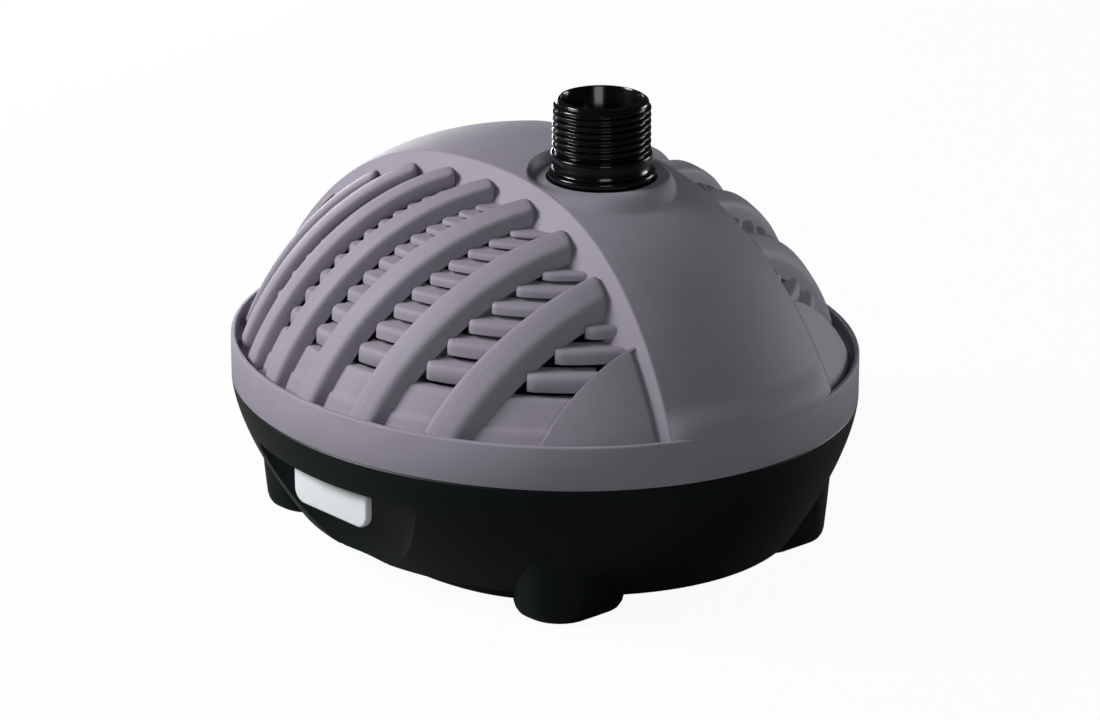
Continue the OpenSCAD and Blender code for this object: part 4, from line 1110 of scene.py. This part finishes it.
CERAMIC = moulded("ceramic", (0.78, 0.76, 0.7), (0.84, 0.82, 0.76), 0.2, 0.0)
IMPELLER_CREAM = moulded("impeller cream", (0.6, 0.58, 0.5), (0.66, 0.64, 0.56), 0.5, 0.1)
MAGNET_GREY = metal("magnet grey", (0.1, 0.1, 0.11), (0.16, 0.16, 0.17), 0.6)
STEEL = metal("stainless steel", (0.5, 0.5, 0.52), (0.62, 0.62, 0.64), 0.32)
LAMINATIONS = metal("laminations", (0.25, 0.25, 0.26), (0.36, 0.36, 0.37), 0.45)
COPPER = metal("enamelled copper", (0.42, 0.14, 0.05), (0.55, 0.2, 0.08), 0.35)

FINISHES = {
    "shell_grey": SHELL_GREY, "bowl_dark": BOWL_DARK, "latch_white": LATCH_WHITE, "gloss_black": GLOSS_BLACK,
    "seal_rubber": SEAL_RUBBER, "pump_black": PUMP_BLACK, "can_grey": CAN_GREY, "bush_black": SEAL_RUBBER,
    "ceramic_white": CERAMIC, "magnet_grey": MAGNET_GREY, "impeller_cream": IMPELLER_CREAM, "steel": STEEL,
    "laminations": LAMINATIONS, "copper_wire": COPPER,
}


def dress(obj, material):
    """Gives an object one material."""
    obj.data.materials.clear()
    obj.data.materials.append(material)


for part in frame["record"]["subparts"]:
    dress(frame["nodes"][part["node"]], FINISHES[part["material_slot"]])

dress(make_upper_shell(), SHELL_GREY)
dress(make_outlet(), GLOSS_BLACK)
dress(make_bowl(), BOWL_DARK)
make_latch(-1, "latch_front", "front_latch")
make_latch(1, "latch_back", "back_latch")

# Floor and surroundings
FLOOR_HALF = 4000.0
FLOOR_DARK = (0.2, 0.2, 0.2)
FLOOR_LIGHT = (0.85, 0.85, 0.85)
FLOOR_GLOW_SHARE = 0.95
AMBIENT = 0.045


def make_floor():
    """White floor that keeps the shadow; what isn't the camera sees it darker."""
    s = FLOOR_HALF
    floor = add_mesh("floor", [(-s, -s, 0), (s, -s, 0), (s, s, 0), (-s, s, 0)], [[0, 1, 2, 3]], False)
    made = Material("white floor", Roughness=0.7)
    seen = made.node("LightPath")[0]
    made.tint(seen, FLOOR_DARK, FLOOR_LIGHT)
    glow = made.node("Emission", {}, {"Color": (1, 1, 1, 1), "Strength": 1.0})[0]
    lit = Value(made, made.shader.outputs[0])
    mixed = made.node("MixShader", {}, {0: seen * FLOOR_GLOW_SHARE, 1: lit, 2: glow})[0]
    made.plug(made.tree.nodes["Material Output"].inputs[0], mixed)
    dress(floor, made.material)


def make_world():
    """White to the camera, a low even light to everything else."""
    world = bpy.data.worlds.new("studio")
    world.use_nodes = True
    scene.world = world
    nodes = Nodes(world.node_tree)
    back = nodes.tree.nodes["Background"]
    seen = nodes.node("LightPath")[0]
    nodes.plug(back.inputs["Strength"], seen * (1 - AMBIENT) + AMBIENT)
    nodes.plug(back.inputs["Color"], (1, 1, 1, 1))


def lamp(name, place, aim, size, power):
    """A square or oblong soft lamp turned to a point."""
    data = bpy.data.lights.new(name, "AREA")
    data.shape, data.size, data.size_y, data.energy = "RECTANGLE", size[0], size[1], power
    obj = bpy.data.objects.new(name, data)
    obj.location = place
    obj.rotation_euler = (Vector(aim) - Vector(place)).to_track_quat("-Z", "Y").to_euler()
    scene.collection.objects.link(obj)


# Camera: the view of the photograph, from a fit of its outlines
CAM_AZIMUTH = math.radians(48.8)
CAM_ELEVATION = math.radians(19.9)
CAM_DISTANCE = 1.6
CAM_TARGET = Vector((0.0601, -0.0495, 0.0866))
CAM_LENS = 159.55
CAM_SENSOR = 36.0

# Lamps round the middle of the housing: [name, way (right, up, back to the camera), size, power]
LIT_POINT = Vector((0, 0, 0.08))
LAMPS = [
    ("key", (-1.15, 0.65, 0.33), (0.5, 0.5), 20),
    ("fill", (1.1, 0.4, -0.55), (0.5, 0.5), 6),
    ("front", (0.2, 0, 1.3), (0.5, 0.4), 2.6),
]

# One more, low at the left, placed by the frame's own axes
LOW_LAMP_WAY = Vector((-1.05, 0.45, 0.02))
LOW_LAMP_SIZE = (0.5, 0.3)
LOW_LAMP_POWER = 6


def camera_axes():
    """The camera's directions: back towards it, right and up."""
    level = math.cos(CAM_ELEVATION)
    back = Vector((math.sin(CAM_AZIMUTH) * level, -math.cos(CAM_AZIMUTH) * level, math.sin(CAM_ELEVATION)))
    right = Vector((math.cos(CAM_AZIMUTH), math.sin(CAM_AZIMUTH), 0))
    return back, right, back.cross(right)


def make_camera():
    """The camera on its line to the target."""
    back, _, _ = camera_axes()
    data = bpy.data.cameras.new("camera")
    data.lens, data.sensor_width = CAM_LENS, CAM_SENSOR
    cam = bpy.data.objects.new("camera", data)
    cam.location = CAM_TARGET + back * CAM_DISTANCE
    cam.rotation_mode = "QUATERNION"
    cam.rotation_quaternion = (-back).to_track_quat("-Z", "Y")
    scene.collection.objects.link(cam)
    scene.camera = cam


def make_lights():
    """All lamps, turned to the middle of the housing."""
    back, right, up = camera_axes()
    for name, way, size, power in LAMPS:
        place = LIT_POINT + right * way[0] + up * way[1] + back * way[2]
        lamp(name, place, LIT_POINT, size, power)
    lamp("low left", LIT_POINT + LOW_LAMP_WAY, LIT_POINT, LOW_LAMP_SIZE, LOW_LAMP_POWER)


make_floor()
make_world()
make_camera()
make_lights()
scene.view_settings.view_transform = "Standard"
